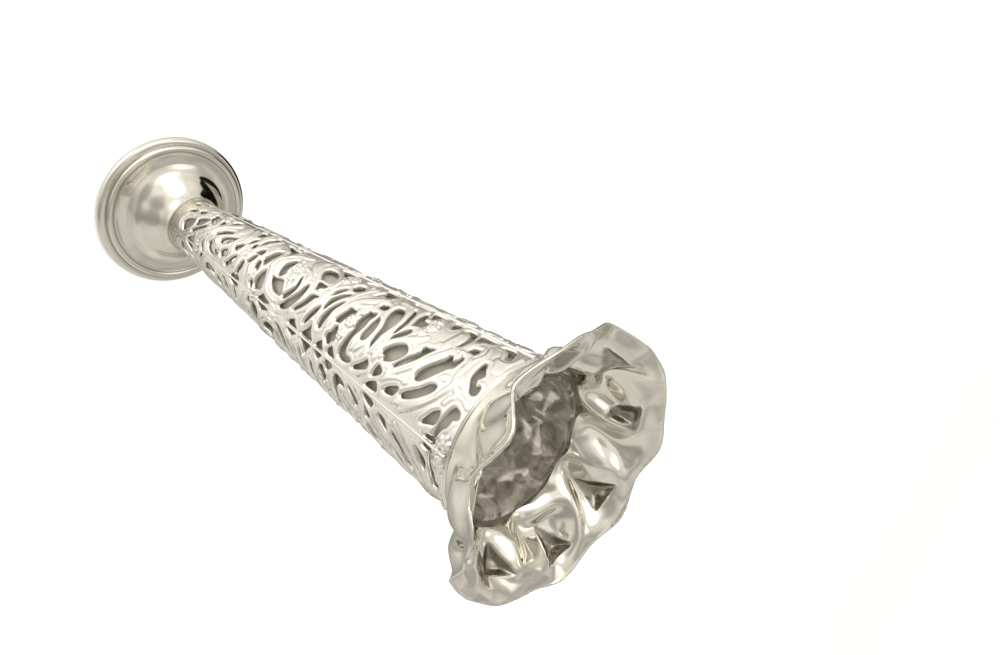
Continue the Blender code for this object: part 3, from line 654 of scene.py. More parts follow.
def blossom_dome(x, y, petals):
    """Height of a flower of radius 1 at the origin: round petals in a ring about a middle bead,
    each (1 - r^2)^0.8. Without petals it is one bead, a half ball."""
    if not petals:
        return np.sqrt(np.clip(1.0 - x**2 - y**2, 0.0, 1.0))
    bead, ring, petal_size, power, first = 0.42, 0.58, 2.5 / petals, 0.8, 0.4
    dome = np.clip(1.0 - (x**2 + y**2) / bead**2, 0.0, 1.0) ** power * 1.1
    for petal in range(petals):
        turn = math.tau * petal / petals + first
        off = np.hypot(x - ring * math.cos(turn), y - ring * math.sin(turn)) / petal_size
        dome = np.maximum(dome, 0.9 * np.clip(1.0 - off**2, 0.0, 1.0) ** power)
    return dome


def panel_relief(across, share, soft):
    """Height of the chasing over one panel, in metres, and how deep each place lies in a
    chased line. Every strand is rounded over from its sawn edge, sqrt(1 - (1 - d / r)^2) up
    to d = r, with a chased line inside the wide ones. Past the line lie arched ribbons,
    sqrt(1 - u^2) across their width u, and blossoms."""
    x, y = unroll(across, share)
    rise, over = sizes().chasing, sizes().edge_round
    rim = np.sqrt(1.0 - (1.0 - np.clip(soft / over, 0.0, 1.0)) ** 2)
    line = np.exp(-(((soft - 1.6 * over) / (0.26 * over)) ** 2))
    plain = smoothstep(1.2 * over, 1.9 * over, soft)
    relief = rise * (rim - 0.11 * line - 0.10 * plain)
    arches = np.zeros(x.shape)
    creases = np.zeros(x.shape)
    for ribbon in RIBBONS:
        chain, half = stroke_chain(np.array(ribbon) / DRAWN)
        near = near_line(x, y, chain, half.max() * 1.5)
        u = across_chain(x[near], y[near], chain, half)
        arches[near] = np.maximum(arches[near], np.sqrt(np.clip(1.0 - u**2, 0.0, 1.0)))
        creases[near] = np.maximum(creases[near], np.exp(-(((u - 1.12) / 0.16) ** 2)))
    relief += rise * plain * (0.60 * arches - 0.25 * creases)
    line = np.maximum(0.25 * line, 0.45 * creases * plain)
    for place_across, place_share, size, petals in BLOSSOMS:
        cx, cy = unroll(np.array(place_across / DRAWN), np.array(place_share / DRAWN))
        radius = size / DRAWN * pattern_length()
        dome = blossom_dome((x - cx) / radius, (y - cy) / radius, petals)
        inside = np.hypot(x - cx, y - cy) < radius * (1.0 if petals else 0.98)
        bloom = rise * (0.30 + 1.60 * dome) * rim
        relief[inside] = bloom[inside] if petals else np.maximum(relief, bloom)[inside]
        line[inside] = (0.7 * (1.0 - dome) ** 2)[inside] if petals else 0.0
    return relief, line


def keep_solid(across, share):
    """Cut a panel's grid along its sawn edges.

    Each cell keeps the part whose distance is above zero: marching squares, with each crossing
    found on the cell's side by the two ends' values and kept a little off its corners. Returns
    the places of the points, the polygons, and the sawn edges as pairs of points with the metal
    on their left.
    """
    rows, columns = across.shape
    least, corner_gap = 2e-6, 0.12
    value = edge_distances(across, share)[0]
    value = np.where(np.abs(value) < least, least, value)
    number = numbered(rows, columns)
    flat_across, flat_share, flat_value = across.ravel(), share.ravel(), value.ravel()
    solid = flat_value > 0.0
    # Crossings on the sides that run across, then on those that run up.
    sides = []
    places_across, places_share = [flat_across], [flat_share]
    count = rows * columns
    for one, two in ((number[:, :-1], number[:, 1:]), (number[:-1, :], number[1:, :])):
        crossing = solid[one] != solid[two]
        index = np.full(one.shape, -1)
        index[crossing] = count + np.arange(crossing.sum())
        count += int(crossing.sum())
        a, b = one[crossing], two[crossing]
        t = flat_value[a] / (flat_value[a] - flat_value[b])
        t = np.clip(t, corner_gap, 1.0 - corner_gap)
        places_across.append(flat_across[a] + (flat_across[b] - flat_across[a]) * t)
        places_share.append(flat_share[a] + (flat_share[b] - flat_share[a]) * t)
        sides.append(index)
    # Corners 0 to 3 go round a cell, and side k lies between corner k and corner k + 1.
    corner = [number[:-1, :-1], number[:-1, 1:], number[1:, 1:], number[1:, :-1]]
    side = [sides[0][:-1, :], sides[1][:, 1:], sides[0][1:, :], sides[1][:, :-1]]
    case = sum(solid[corner[k]].astype(int) << k for k in range(4))
    polygons, edges = [], []
    for code in range(1, 16):
        here = case == code
        if not here.any():
            continue
        ring, leaving, arriving = [], [], []
        for k in range(4):
            inside, following = code >> k & 1, code >> (k + 1) % 4 & 1
            if inside:
                ring.append(corner[k][here])
            if inside != following:
                ring.append(side[k][here])
                (leaving if inside else arriving).append(side[k][here])
        polygons.append(np.stack(ring, axis=1))
        # In this case two opposite corners are solid, and their cuts cross over.
        if code == 10:
            arriving.reverse()
        edges += [np.stack(pair, axis=1) for pair in zip(leaving, arriving)]
    return np.concatenate(places_across), np.concatenate(places_share), polygons, edges


def body_surface(across, share, relief, panel):
    """Places on the cone of points of one panel: radius = cone + relief + a soft unevenness,
    and a slight hand-cut drift along the sheet that fades out at the ridges and ends."""
    swung = across - 1.0 if panel % 2 == 0 else 1.0 - across
    angle = (swung + (panel + panel % 2)) * PANEL_TURN + FRONT_RIDGE
    height = share_height(share)
    radius = cone_radius(height)
    places = on_circle(radius, angle, height)
    inner = smoothstep(0.0, 0.12, np.minimum(across, 1.0 - across))
    inner *= smoothstep(0.0, 0.03, np.minimum(share - PATTERN_FOOT, PATTERN_TOP - share))
    drift, dent = 0.00022 * inner, 0.00007 * inner
    angle = angle + drift * waves(places, 0.030, 3) / radius
    height = height + drift * waves(places, 0.026, 4)
    radius = radius + relief + dent * waves(places, 0.011, 5)
    return on_circle(radius, angle, height)


def cut_panel():
    """One panel as flat arrays: across, share, relief, the mask of its outer and then its inner
    face, polygons and rim edges. The outer mask is dull film, laid darker towards the foot as
    well; the inner mask is painted shade."""
    columns, rows = PANEL_GRID
    across, share = np.meshgrid(
        np.linspace(0.0, 1.0, columns), np.linspace(PATTERN_FOOT, PATTERN_TOP, rows)
    )
    across, share, polygons, edges = keep_solid(across, share)
    number = numbered(rows, columns)
    for forward, line in ((1, number[0]), (1, number[:, -1]), (-1, number[-1]), (-1, number[:, 0])):
        edges.append(np.stack([line[:-1], line[1:]], axis=1)[:, ::forward])
    used = np.unique(np.concatenate([part.ravel() for part in polygons]))
    compact = np.zeros(len(across), int)
    compact[used] = np.arange(len(used))
    across, share = across[used], share[used]
    soft = edge_distances(across, share)[1]
    relief, line = panel_relief(across, share, soft)
    outer_mask = 0.60 * line + 0.10 * (1.0 - smoothstep(0.0, 0.00025, soft))
    # The outer face is also laid darker towards the foot.
    outer_mask += 0.26 * (1.0 - smoothstep(0.15, 0.60, share))
    # Inner face: a thin film, with painted shade that deepens away from the sawn edges, where the light
    # through the openings doesn't reach.
    inner_painted_shade = 0.05 + 0.45 * smoothstep(0.0, 0.0008, soft)
    mask = np.concatenate([outer_mask, inner_painted_shade])
    polygons = [compact[part] for part in polygons]
    return across, share, relief, mask, polygons, compact[np.concatenate(edges)]


def make_panels(material):
    """The pierced body: four mirrored panels, each a closed sheet with its own sawn walls."""
    across, share, relief, mask, polygons, edges = cut_panel()
    count = len(across)
    a, b = edges[:, 0], edges[:, 1]
    faces = polygons + [part[:, ::-1] + count for part in polygons]
    faces.append(np.stack([b, a, a + count, b + count], axis=1))
    for panel in range(PANELS):
        outer = body_surface(across, share, relief, panel)
        inner = body_surface(across, share, np.full(count, -sizes().sheet), panel)
        add_piece(
            f"pierced_panel_{panel + 1}", np.concatenate([outer, inner]),
            [part[:, ::-1] for part in faces] if panel % 2 else faces,
            material, "pierced_body", mask,
        )


def tube(line, across, outward, half_width, half_rise):
    """Points and polygons of a closed bar along a line: an ellipse in each place's own two
    directions, with a flat fan at each end."""
    turn = full_turn(BAR_SIDES)
    ring = (
        line[:, None]
        + across[:, None] * (half_width[:, None] * np.cos(turn))[..., None]
        + outward[:, None] * (half_rise[:, None] * np.sin(turn))[..., None]
    )
    points = np.concatenate([ring.reshape(-1, 3), line[:1], line[-1:]])
    faces = (ring_quads(len(line), BAR_SIDES), end_fans(len(line), BAR_SIDES))
    return points, [part[:, ::-1] for part in faces]


def make_ridges(material):
    """The four raised ridge lines of the body, each a thin bar from the collar to the top."""
    s = sizes()
    collar, top_gap, proud, places = 0.0030, 0.0006, 0.00010, 260
    half_width, half_rise = 0.00048, 0.00095
    parts = []
    for panel in range(PANELS):
        angle = FRONT_RIDGE + panel * PANEL_TURN
        height = np.linspace(s.body_bottom + collar, s.body_top - top_gap, places)
        outward = np.tile([math.cos(angle), math.sin(angle), 0.0], (len(height), 1))
        across = np.tile([-math.sin(angle), math.cos(angle), 0.0], (len(height), 1))
        line = outward * (cone_radius(height) + proud)[:, None]
        line[:, 2] = height
        line += across * (0.00008 * waves(line, 0.020, 11))[:, None]
        grow = 0.55 + 0.45 * (height - s.body_bottom) / (s.body_top - s.body_bottom)
        wide = half_width * grow * (1.0 + 0.10 * waves(line, 0.006, 12))
        parts.append(tube(line, across, outward, wide, half_rise * grow))
    points, polygons = merged(parts)
    mask = np.full(len(points), 0.15)
    add_piece("ridge_lines", points, polygons, material, "pierced_body", mask)


def ring_bar(radius, height, half_width, steps, seed):
    """Points and polygons of a closed ring: an ellipse carried once round the axis."""
    half_rise = 0.00040
    turn, across = full_turn(steps)[:, None], full_turn(SEAM_SIDES)
    out = radius + half_width * np.cos(across)
    points = on_circle(out, turn, height + half_rise * np.sin(across) + 0.0 * turn)
    points += points * (0.004 * waves(points, 0.006, seed))[..., None] * np.array([1.0, 1.0, 0.0])
    return points.reshape(-1, 3), [ring_quads(steps, SEAM_SIDES, closed=True)]


def make_rings(material):
    """The two soldered seams: a fine ring under the mouth and one above the foot's neck."""
    s = sizes()
    lift = 0.0001
    top = ring_bar(s.top_radius - 0.00015, s.body_top + lift, half_width=0.00045, steps=200, seed=41)
    bottom = ring_bar(
        s.bottom_radius + 0.00010, s.body_bottom + lift, half_width=0.00040, steps=120, seed=42
    )
    points, polygons = merged([top, bottom])
    mask = np.full(len(points), 0.05)
    add_piece("solder_rings", points, polygons, material, "pierced_body", mask)


# The foot.
def foot_profile():
    """Half section of the spun foot, from the neck down its outside and back up its inside. The
    bell's points are each averaged with their neighbours sixty times, so that its sweep is even."""
    inner_radius, outer_radius, plate_height, sag = 0.0191, 0.0226, 0.0047, 0.0004
    bell = smooth_curve(FOOT_BELL, np.linspace(0.0, 1.0, 64))
    for _ in range(60):
        bell[1:-1] = (bell[:-2] + 2.0 * bell[1:-1] + bell[2:]) / 4.0
    share = np.linspace(0.06, 1.0, 20)
    ring_radius = inner_radius + (outer_radius - inner_radius) * share
    ring_height = plate_height + sag * (1.0 - share) ** 2
    ring = np.stack([ring_radius, ring_height], axis=1)
    fillet = arc((0.02290, 0.00455), (0.00028, 0.00030), 170, 20, 7)
    step = arc((0.02420, 0.00430), (0.00105, 0.00100), 170, 8, 14)
    groove = arc((0.02552, 0.00370), (0.00022, 0.00030), 200, 330, 5)
    rim = arc((0.02600, 0.00170), (0.00170, 0.00170), 100, -90, 26)
    return np.concatenate([bell, ring, fillet, step, groove, rim, np.array(FOOT_INSIDE)])


def make_foot(material):
    """The spun foot: a turned profile with the soft dents of long use, filmed in its grooves."""
    profile = foot_profile()
    grooves = ((0.0255, 0.00028, 0.4), (0.0230, 0.00022, 0.3))
    points = turned(profile, FOOT_STEPS)
    radius = np.hypot(points[..., 0], points[..., 1])
    plain = smoothstep(0.0150, 0.0165, radius) * (1.0 - smoothstep(0.0215, 0.0225, radius))
    dents = 0.00011 * waves(points, 0.0085, 21) * plain + 0.00002 * waves(points, 0.0045, 22)
    points[..., 2] += dents * smoothstep(0.0006, 0.0020, points[..., 2])
    mask = sum(film * np.exp(-(((radius - place) / width) ** 2)) for place, width, film in grooves)
    faces = [ring_quads(len(profile), FOOT_STEPS, closed=True)]
    mask = np.clip(mask, 0.0, 1.0).ravel()
    add_piece("spun_foot", points.reshape(-1, 3), faces, material, "foot", mask)


# The mouth.
def around_mouth(lobes, notches, turns):
    """Smooth value round the mouth through each pleat's own lobe and notch value."""
    stations = np.array([value for pair in zip(lobes, notches) for value in pair])
    along = (turns % 1.0) * 2 * PLEATS
    first = along.astype(int) % (2 * PLEATS)
    blend = (1.0 - np.cos(math.pi * (along % 1.0))) / 2
    return stations[first] * (1.0 - blend) + stations[(first + 1) % (2 * PLEATS)] * blend


def mouth_surface(turns, along):
    """Places of the mouth's outer face. The section blends from a notch to a lobe as
    |cos(10 half turns)|^p, with p below 2 half-way out, where the notches are creased, and
    it is round at the throat. Its reach and rise follow each pleat's own value."""
    s = sizes()
    middle = 4.0 * along * (1.0 - along)
    drift = 0.16 * np.sin(3.0 * math.tau * turns + 5.0 * along)
    drift += 0.10 * np.sin(7.0 * math.tau * turns + 9.0 * along)
    swing = turns * PLEATS + drift * middle
    power = 2.0 - 0.55 * middle * smoothstep(0.30, 0.60, along)
    lobed = np.abs(np.cos(math.pi * swing)) ** power
    lobed = 0.5 + (lobed - 0.5) * smoothstep(0.05, 0.36, along)
    lobe = smooth_curve(LOBE_SECTION, along)
    notch = smooth_curve(NOTCH_SECTION, along)
    section = notch + (lobe - notch) * lobed[..., None]
    reach = 1.0 + (around_mouth(LOBE_REACH, NOTCH_REACH, turns) - 1.0) * along
    rise = 1.0 + (around_mouth(LOBE_RISE, NOTCH_RISE, turns) - 1.0) * along
    radius = s.top_radius + (s.mouth_radius - s.top_radius) * section[..., 0] * reach
    height = s.body_top + 0.0003 + s.mouth_height * section[..., 1] * rise
    return on_circle(radius, math.tau * turns + FIRST_LOBE, height)


def mouth_pits(turns, along):
    """Depth of the crimped pits as a share of the full depth, and where they lie. Each is an
    upside-down pyramid on a triangle whose apex points at the throat, and its depth rises
    with a soft minimum of the distances from the three sides."""
    depth = np.zeros(turns.shape)
    inside = np.zeros(turns.shape)
    flank, blend, far = math.radians(28.0), 0.00035, 0.01
    pit_radius, slope_length = 0.0285, 0.0240
    apex, base, deepest, edge = 0.0050, 0.0040, 0.0019, 0.00045
    for place, out, share in PITS:
        off_pit = (turns * PLEATS - place + PLEATS / 2) % PLEATS - PLEATS / 2
        x = off_pit * math.tau / PLEATS * pit_radius
        y = (along - out) * slope_length
        slant = (y + apex) * math.sin(flank)
        sides = np.stack([base - y, slant - x * math.cos(flank), slant + x * math.cos(flank)])
        near = -blend * np.log(np.exp(-np.clip(sides, -far, far) / blend).sum(axis=0))
        depth = np.maximum(depth, share * np.clip(near / deepest, 0.0, 1.0))
        inside = np.maximum(inside, share * smoothstep(0.0, edge, near))
    return depth, inside


def make_mouth(material):
    """The crimped mouth: a closed shell between an outer and an inner face, with creased pits
    and a thin, slightly granular edge."""
    s = sizes()
    columns, rows = MOUTH_GRID
    turns, along = np.meshgrid(
        np.linspace(0.0, 1.0, columns, endpoint=False), np.linspace(0.0, 1.0, rows)
    )
    outer = mouth_surface(turns, along)
    # Outward normals, by the cross product of the grid's two directions.
    around = np.roll(outer, -1, axis=1) - np.roll(outer, 1, axis=1)
    normal = np.cross(around, np.gradient(outer, axis=0))
    normal /= np.linalg.norm(normal, axis=-1)[..., None]
    depth, inside = mouth_pits(turns, along)
    crumple = 0.00013 * inside * waves(outer, 0.0022, 33) + 0.00012 * waves(outer, 0.009, 31)
    crumple += 0.00005 * smoothstep(0.10, 0.40, along) * waves(outer, 0.0045, 34)
    outer = outer + normal * (s.pit_depth * depth + crumple)[..., None]
    edge = smoothstep(0.955, 1.0, along)
    grain = 0.00016 * edge * waves(outer, 0.0011, 32)
    thick = s.mouth_sheet * (1.0 - 0.15 * along) + 0.00015 * edge + grain
    inner = outer - normal * thick[..., None]
    count = rows * columns
    number = numbered(rows, columns)
    after = np.roll(number, -1, axis=1)
    quads = ring_quads(rows, columns)
    top = np.stack([number[-1], after[-1], after[-1] + count, number[-1] + count], axis=1)
    bottom = np.stack([after[0], number[0], number[0] + count, after[0] + count], axis=1)
    points = np.concatenate([outer.reshape(-1, 3), inner.reshape(-1, 3)])
    faces = [quads, quads[:, ::-1] + count, top, bottom]
    mask = np.concatenate([np.zeros(count), inside.ravel()])
    add_piece("crimped_mouth", points, faces, material, "frilled_mouth", mask)


# The liner.
def make_liner(material):
    """The glass liner: a tapered cup with a round end and a rounded lip, filmed at the lip and on
    its inner skin."""
    s = sizes()
    wall, lip, clearance, film, roundness = 0.0016, 0.0008, 0.0003, 0.54, 0.75
    # The CAD's body has twenty flat sides, which reach this share of its radius.
    facet = math.cos(math.pi / 20)

    def bore(height):
        return (cone_radius(height) - s.sheet) * facet

    shoulder = s.liner_bottom + bore(s.liner_bottom) * roundness
    base = bore(shoulder) - clearance
    lip_height = s.liner_top - lip
    bottom = arc((0.0, shoulder), (base, shoulder - s.liner_bottom), -90, 0, 18)
    side = np.linspace((base, shoulder), (s.liner_lip, lip_height), 40)[1:-1]
    rim = arc((s.liner_lip - lip, lip_height), (lip, lip), 0, 180, 11)
    back = np.linspace((s.liner_lip - wall, lip_height), (base - wall, shoulder), 40)[1:-1]
    hollow = arc((0.0, shoulder), (base - wall, shoulder - s.liner_bottom - wall), 0, -90, 18)
    profile = np.concatenate([bottom, side, rim, back, hollow])
    rings = turned(profile[1:-1], LINER_STEPS).reshape(-1, 3)
    poles = [(0.0, 0.0, profile[0, 1]), (0.0, 0.0, profile[-1, 1])]
    points = np.concatenate([rings, poles])
    mask = smoothstep(s.liner_top - 0.0012, s.liner_top - 0.0003, points[:, 2])
    filmed = (len(bottom) - 1 + len(side) + len(rim)) * LINER_STEPS
    mask[filmed:] = np.maximum(mask[filmed:], film)
    rows = len(profile) - 2
    faces = [ring_quads(rows, LINER_STEPS), end_fans(rows, LINER_STEPS)]
    add_piece("frosted_liner", points, faces, material, "glass_liner", mask)


# Materials.
def feed(tree, socket, value):
    """Set an input to a plain value, or join another node's output to it."""
    if isinstance(value, bpy.types.NodeSocket):
        tree.links.new(value, socket)
    else:
        socket.default_value = value


def add_node(tree, kind, output, **inputs):
    """One output of a new node whose inputs are set or joined by name."""
    made = tree.nodes.new(kind)
    for name, value in inputs.items():
        feed(tree, made.inputs[name.replace("_", " ")], value)
    return made.outputs[output]


def noise(tree, place, **inputs):
    """The grey of a Noise Texture at a place."""
    return add_node(tree, "ShaderNodeTexNoise", "Fac", Vector=place, **inputs)


def maths(tree, operation, *values, clamp=False):
    """The output of a Math node whose inputs are numbers or other nodes' outputs."""
    made = tree.nodes.new("ShaderNodeMath")
    made.operation = operation
    made.use_clamp = clamp
    for socket, value in zip(made.inputs, values):
        feed(tree, socket, value)
    return made.outputs[0]


def mixed_colour(tree, share, first, second):
    """The colour that lies a share of the way from one colour to another."""
    made = tree.nodes.new("ShaderNodeMix")
    made.data_type = "RGBA"
    for index, value in ((0, share), (6, first), (7, second)):
        feed(tree, made.inputs[index], value)
    return made.outputs[2]


def new_material(name, **values):
    """A material, its node tree and its Principled shader's inputs, some set to plain values."""
    made = bpy.data.materials.new(name)
    made.use_nodes = True
    inputs = made.node_tree.nodes["Principled BSDF"].inputs
    for key, value in values.items():
        inputs[key.replace("_", " ")].default_value = value
    return made, made.node_tree, inputs


def film_and_shade_mask(tree):
    """The mesh's own mask of dull film in its hollows, and of painted shade on the pierced sheet."""
    made = tree.nodes.new("ShaderNodeAttribute")
    made.attribute_name = "hollow"
    return made.outputs["Fac"]


def wear_and_shade_group():
    """Shared wear and painted shade of silver: film and painted shade from the mask, soft spots, fine
    scratches and their height.
    """
    group = bpy.data.node_groups.new("silver_wear_and_shade", "ShaderNodeTree")
    sockets = (
        ("INPUT", "Color", ("Silver", "Tarnish and shade")),
        ("INPUT", "Float", ("Film and shade", "Film", "Polish")),
        ("OUTPUT", "Color", ("Color",)),
        ("OUTPUT", "Float", ("Roughness", "Height")),
    )
    for way, kind, names in sockets:
        for name in names:
            group.interface.new_socket(name=name, in_out=way, socket_type="NodeSocket" + kind)
    given = group.nodes.new("NodeGroupInput").outputs
    result = group.nodes.new("NodeGroupOutput").inputs
    place = add_node(group, "ShaderNodeTexCoord", "Object")
    clouds = noise(group, place, Scale=110.0, Detail=4.0, Roughness=0.55)
    spots = noise(group, place, Scale=1500.0, Detail=3.0, Roughness=0.6)
    stretched = add_node(
        group, "ShaderNodeMapping", "Vector",
        Vector=place, Rotation=(0.5, 0.3, 0.8), Scale=(5200.0, 420.0, 5200.0),
    )
    scratches = noise(group, stretched, Scale=1.0, Detail=2.0, Roughness=0.5)
    fine = maths(group, "SUBTRACT", scratches, 0.62, clamp=True)
    # The mask darkens the silver towards the tarnish colour: dull film in the hollows, and painted shade
    # on the pierced sheet's inner face.
    filmed = maths(group, "MULTIPLY", given["Film and shade"], given["Film"])
    mottled = maths(group, "MULTIPLY", filmed, maths(group, "MULTIPLY_ADD", clouds, 0.9, 0.45))
    film = maths(group, "ADD", mottled, maths(group, "MULTIPLY", spots, 0.06), clamp=True)
    feed(group, result["Color"], mixed_colour(group, film, given["Silver"], given["Tarnish and shade"]))
    cloudy = maths(group, "MULTIPLY", clouds, 0.06)
    rough = maths(group, "ADD", maths(group, "MULTIPLY_ADD", filmed, 0.22, cloudy), given["Polish"])
    feed(group, result["Roughness"], maths(group, "MULTIPLY_ADD", fine, 0.35, rough))
    feed(group, result["Height"], maths(group, "MULTIPLY_ADD", spots, 0.25, fine))
    return group


def silver_material(name, colour, polish, film, bump):
    """Polished silver: the shared group of wear and painted shade on a metallic Principled shader."""
    made, tree, shader = new_material(name, Metallic=1.0)
    group = tree.nodes.new("ShaderNodeGroup")
    group.node_tree = bpy.data.node_groups.get("silver_wear_and_shade") or wear_and_shade_group()
    given = (
        ("Silver", colour), ("Tarnish and shade", finish().tarnish_and_shade), ("Film", film), ("Polish", polish),
        ("Film and shade", film_and_shade_mask(tree)),
    )
    for key, value in given:
        feed(tree, group.inputs[key], value)
    height = group.outputs["Height"]
    relief = add_node(tree, "ShaderNodeBump", "Normal", Strength=bump, Distance=0.00002, Height=height)
    feed(tree, shader["Base Color"], group.outputs["Color"])
    feed(tree, shader["Roughness"], group.outputs["Roughness"])
    feed(tree, shader["Normal"], relief)
    return made


def glass_material():
    """Acid-frosted glass: its matt skin scatters part of the light and blurs the rest."""
    made, tree, shader = new_material(
        "frosted glass", Metallic=0.0, Transmission_Weight=0.66, IOR=1.5
    )
    place = add_node(tree, "ShaderNodeTexCoord", "Object")
    swirl = noise(tree, place, Scale=120.0, Detail=2.0, Distortion=2.5)
    uneven = maths(tree, "MULTIPLY_ADD", swirl, 4.0, -1.0)
    filmed = maths(tree, "MULTIPLY", film_and_shade_mask(tree), uneven, clamp=True)
    frost = noise(tree, place, Scale=420.0, Detail=3.0, Roughness=0.6)
    grain = noise(tree, place, Scale=3200.0, Detail=1.0)
    relief = add_node(tree, "ShaderNodeBump", "Normal", Strength=0.04, Distance=0.00003, Height=grain)
    feed(tree, shader["Base Color"], mixed_colour(tree, filmed, finish().glass, finish().tarnish_and_shade))
    feed(tree, shader["Roughness"], maths(tree, "MULTIPLY_ADD", frost, 0.08, 0.19))
    feed(tree, shader["Normal"], relief)
    return made


class VASE_OT_foot(bpy.types.Operator):
    """Build the spun foot"""

    bl_idname = "vase.foot"
    bl_label = "Foot"

    def execute(self, context):
        f = finish()
        # The foot takes the plain silver, painted darker as shade.
        silver = silver_material("foot silver", f.shaded_plain_silver, f.plain_polish, film=0.9, bump=0.10)
        make_foot(silver)
        return {"FINISHED"}


class VASE_OT_body(bpy.types.Operator):
    """Build the pierced body: its four panels, ridge lines and soldered rings"""

    bl_idname = "vase.body"
    bl_label = "Pierced body"

    def execute(self, context):
        f = finish()
        # film also sets how deep the painted shade on the sheet's inner face is.
        silver = silver_material("pierced silver", f.silver, f.body_polish, film=0.8, bump=0.12)
        make_panels(silver)
        make_ridges(silver)
        make_rings(silver)
        return {"FINISHED"}


class VASE_OT_mouth(bpy.types.Operator):
    """Build the crimped mouth"""

    bl_idname = "vase.mouth"
    bl_label = "Crimped mouth"

    def execute(self, context):
        f = finish()
        polish = f.plain_polish * 0.7
        # The mouth takes the plain silver, painted darker as shade.
        make_mouth(silver_material("mouth silver", f.shaded_plain_silver, polish, film=0.8, bump=0.06))
        return {"FINISHED"}


class VASE_OT_liner(bpy.types.Operator):
    """Build the frosted-glass liner"""

    bl_idname = "vase.liner"
    bl_label = "Glass liner"

    def execute(self, context):
        make_liner(glass_material())
        return {"FINISHED"}


# The studio.
def facing_axes(back):
    """Unit directions right, up and back of something level that faces along back."""
    back = np.array(back, float) / np.linalg.norm(back)
    right = np.cross([0.0, 0.0, 1.0], back)
    right /= np.linalg.norm(right)
    return right, np.cross(back, right), back


def set_pose(thing, axes, place):
    """Give an object its own right, up and back and its place."""
    right, up, back = axes
    rows = [[right[k], up[k], back[k], place[k]] for k in range(3)]
    thing.matrix_world = Matrix(rows + [[0.0, 0.0, 0.0, 1.0]])


def add_softbox(name, place, size, power, colour):
    """A square area light that faces the vase's middle. The silver doesn't show it."""
    data = bpy.data.lights.new(name, "AREA")
    data.shape = "SQUARE"
    data.size = size
    data.energy = power
    data.color = colour
    lamp = add_object(name, data)
    lamp.visible_glossy = False
    set_pose(lamp, facing_axes(np.array(place) - np.array(LAMP_TARGET)), place)


def add_sheet(name, points, material):
    """A flat sheet of the stage, one polygon."""
    data = bpy.data.meshes.new(name)
    data.from_pydata([tuple(point) for point in points], [], [tuple(range(len(points)))])
    data.materials.append(material)
    sheet = add_object(name, data)
    return sheet


def add_card(place, facing, half_width, half_rise, lean):
    """A black oval card that shows in the silver only. Its rim is a full turn of an ellipse,
    leaning by an angle in the card's own plane."""
    right, up, _ = facing_axes(facing)
    turn = full_turn(40)
    u, v = half_width * np.cos(turn), half_rise * np.sin(turn)
    along = u * math.cos(lean) - v * math.sin(lean)
    above = u * math.sin(lean) + v * math.cos(lean)
    points = np.array(place) + along[:, None] * right + above[:, None] * up
    black = new_material(
        "black card", Base_Color=(0.004, 0.004, 0.003, 1.0), Roughness=1.0, Specular_IOR_Level=0.0
    )[0]
    card = add_sheet("black card", points, black)
    card.visible_camera = False
    card.visible_diffuse = False
    card.visible_transmission = False
    card.visible_shadow = False


def toward(tree, place, way):
    """How far the looked-at direction points along a given one, from -1 to 1."""
    made = tree.nodes.new("ShaderNodeVectorMath")
    made.operation = "DOT_PRODUCT"
    feed(tree, made.inputs[0], place)
    feed(tree, made.inputs[1], np.array(way) / np.linalg.norm(way))
    return made.outputs["Value"]


def zone(tree, place, way, near, far):
    """A round zone of the tent: 1 within one angle in degrees of a direction, 0 past another."""
    made = tree.nodes.new("ShaderNodeMapRange")
    made.interpolation_type = "SMOOTHSTEP"
    feed(tree, made.inputs["From Min"], math.cos(math.radians(far)))
    feed(tree, made.inputs["From Max"], math.cos(math.radians(near)))
    feed(tree, made.inputs["Value"], toward(tree, place, way))
    return made.outputs["Result"]


def studio_world():
    """A pale tent. What the silver picks up is white on one side, dim and warm round the
    horizon of that side, and dark where the camera and the open end of the tent stand. The
    camera, the matt surfaces and the glass see an even white."""
    world = bpy.data.worlds.new("tent")
    world.use_nodes = True
    tree = world.node_tree
    place = add_node(tree, "ShaderNodeTexCoord", "Object")
    ramp = tree.nodes.new("ShaderNodeValToRGB")
    feed(tree, ramp.inputs["Fac"], maths(tree, "MULTIPLY_ADD", toward(tree, place, LIT_SIDE), 0.5, 0.5))
    while len(ramp.color_ramp.elements) < len(TENT_GREYS):
        ramp.color_ramp.elements.new(0.5)
    for element, (position, grey) in zip(ramp.color_ramp.elements, TENT_GREYS):
        element.position = position
        element.color = (grey, grey * 0.97, grey * 0.90, 1.0)
    cloud = noise(tree, place, Scale=2.2, Detail=2.0, Roughness=0.5)
    value = maths(tree, "MULTIPLY_ADD", cloud, 0.7, 0.65)
    for way, near, far, depth in DIM_ZONES:
        hidden = maths(tree, "MULTIPLY", zone(tree, place, way, near, far), depth)
        value = maths(tree, "MULTIPLY", value, maths(tree, "SUBTRACT", 1.0, hidden))
    for way, near, far, power in BRIGHT_ZONES:
        lamp = maths(tree, "MULTIPLY", zone(tree, place, way, near, far), power)
        value = maths(tree, "ADD", value, lamp)
    picked_up = tree.nodes["Background"]
    feed(tree, picked_up.inputs["Color"], ramp.outputs["Color"])
    feed(tree, picked_up.inputs["Strength"], value)
    plain = add_node(
        tree, "ShaderNodeBackground", "Background", Color=(1.0, 0.995, 0.985, 1.0), Strength=1.18
    )
    path = tree.nodes.new("ShaderNodeLightPath").outputs
    seen = maths(tree, "MAXIMUM", path["Is Camera Ray"], path["Is Diffuse Ray"])
    seen = maths(tree, "MAXIMUM", seen, path["Is Transmission Ray"])
    mix = tree.nodes.new("ShaderNodeMixShader")
    for socket, value in zip(mix.inputs, (seen, picked_up.outputs["Background"], plain)):
        feed(tree, socket, value)
    feed(tree, tree.nodes["World Output"].inputs["Surface"], mix.outputs["Shader"])
    bpy.context.scene.world = world


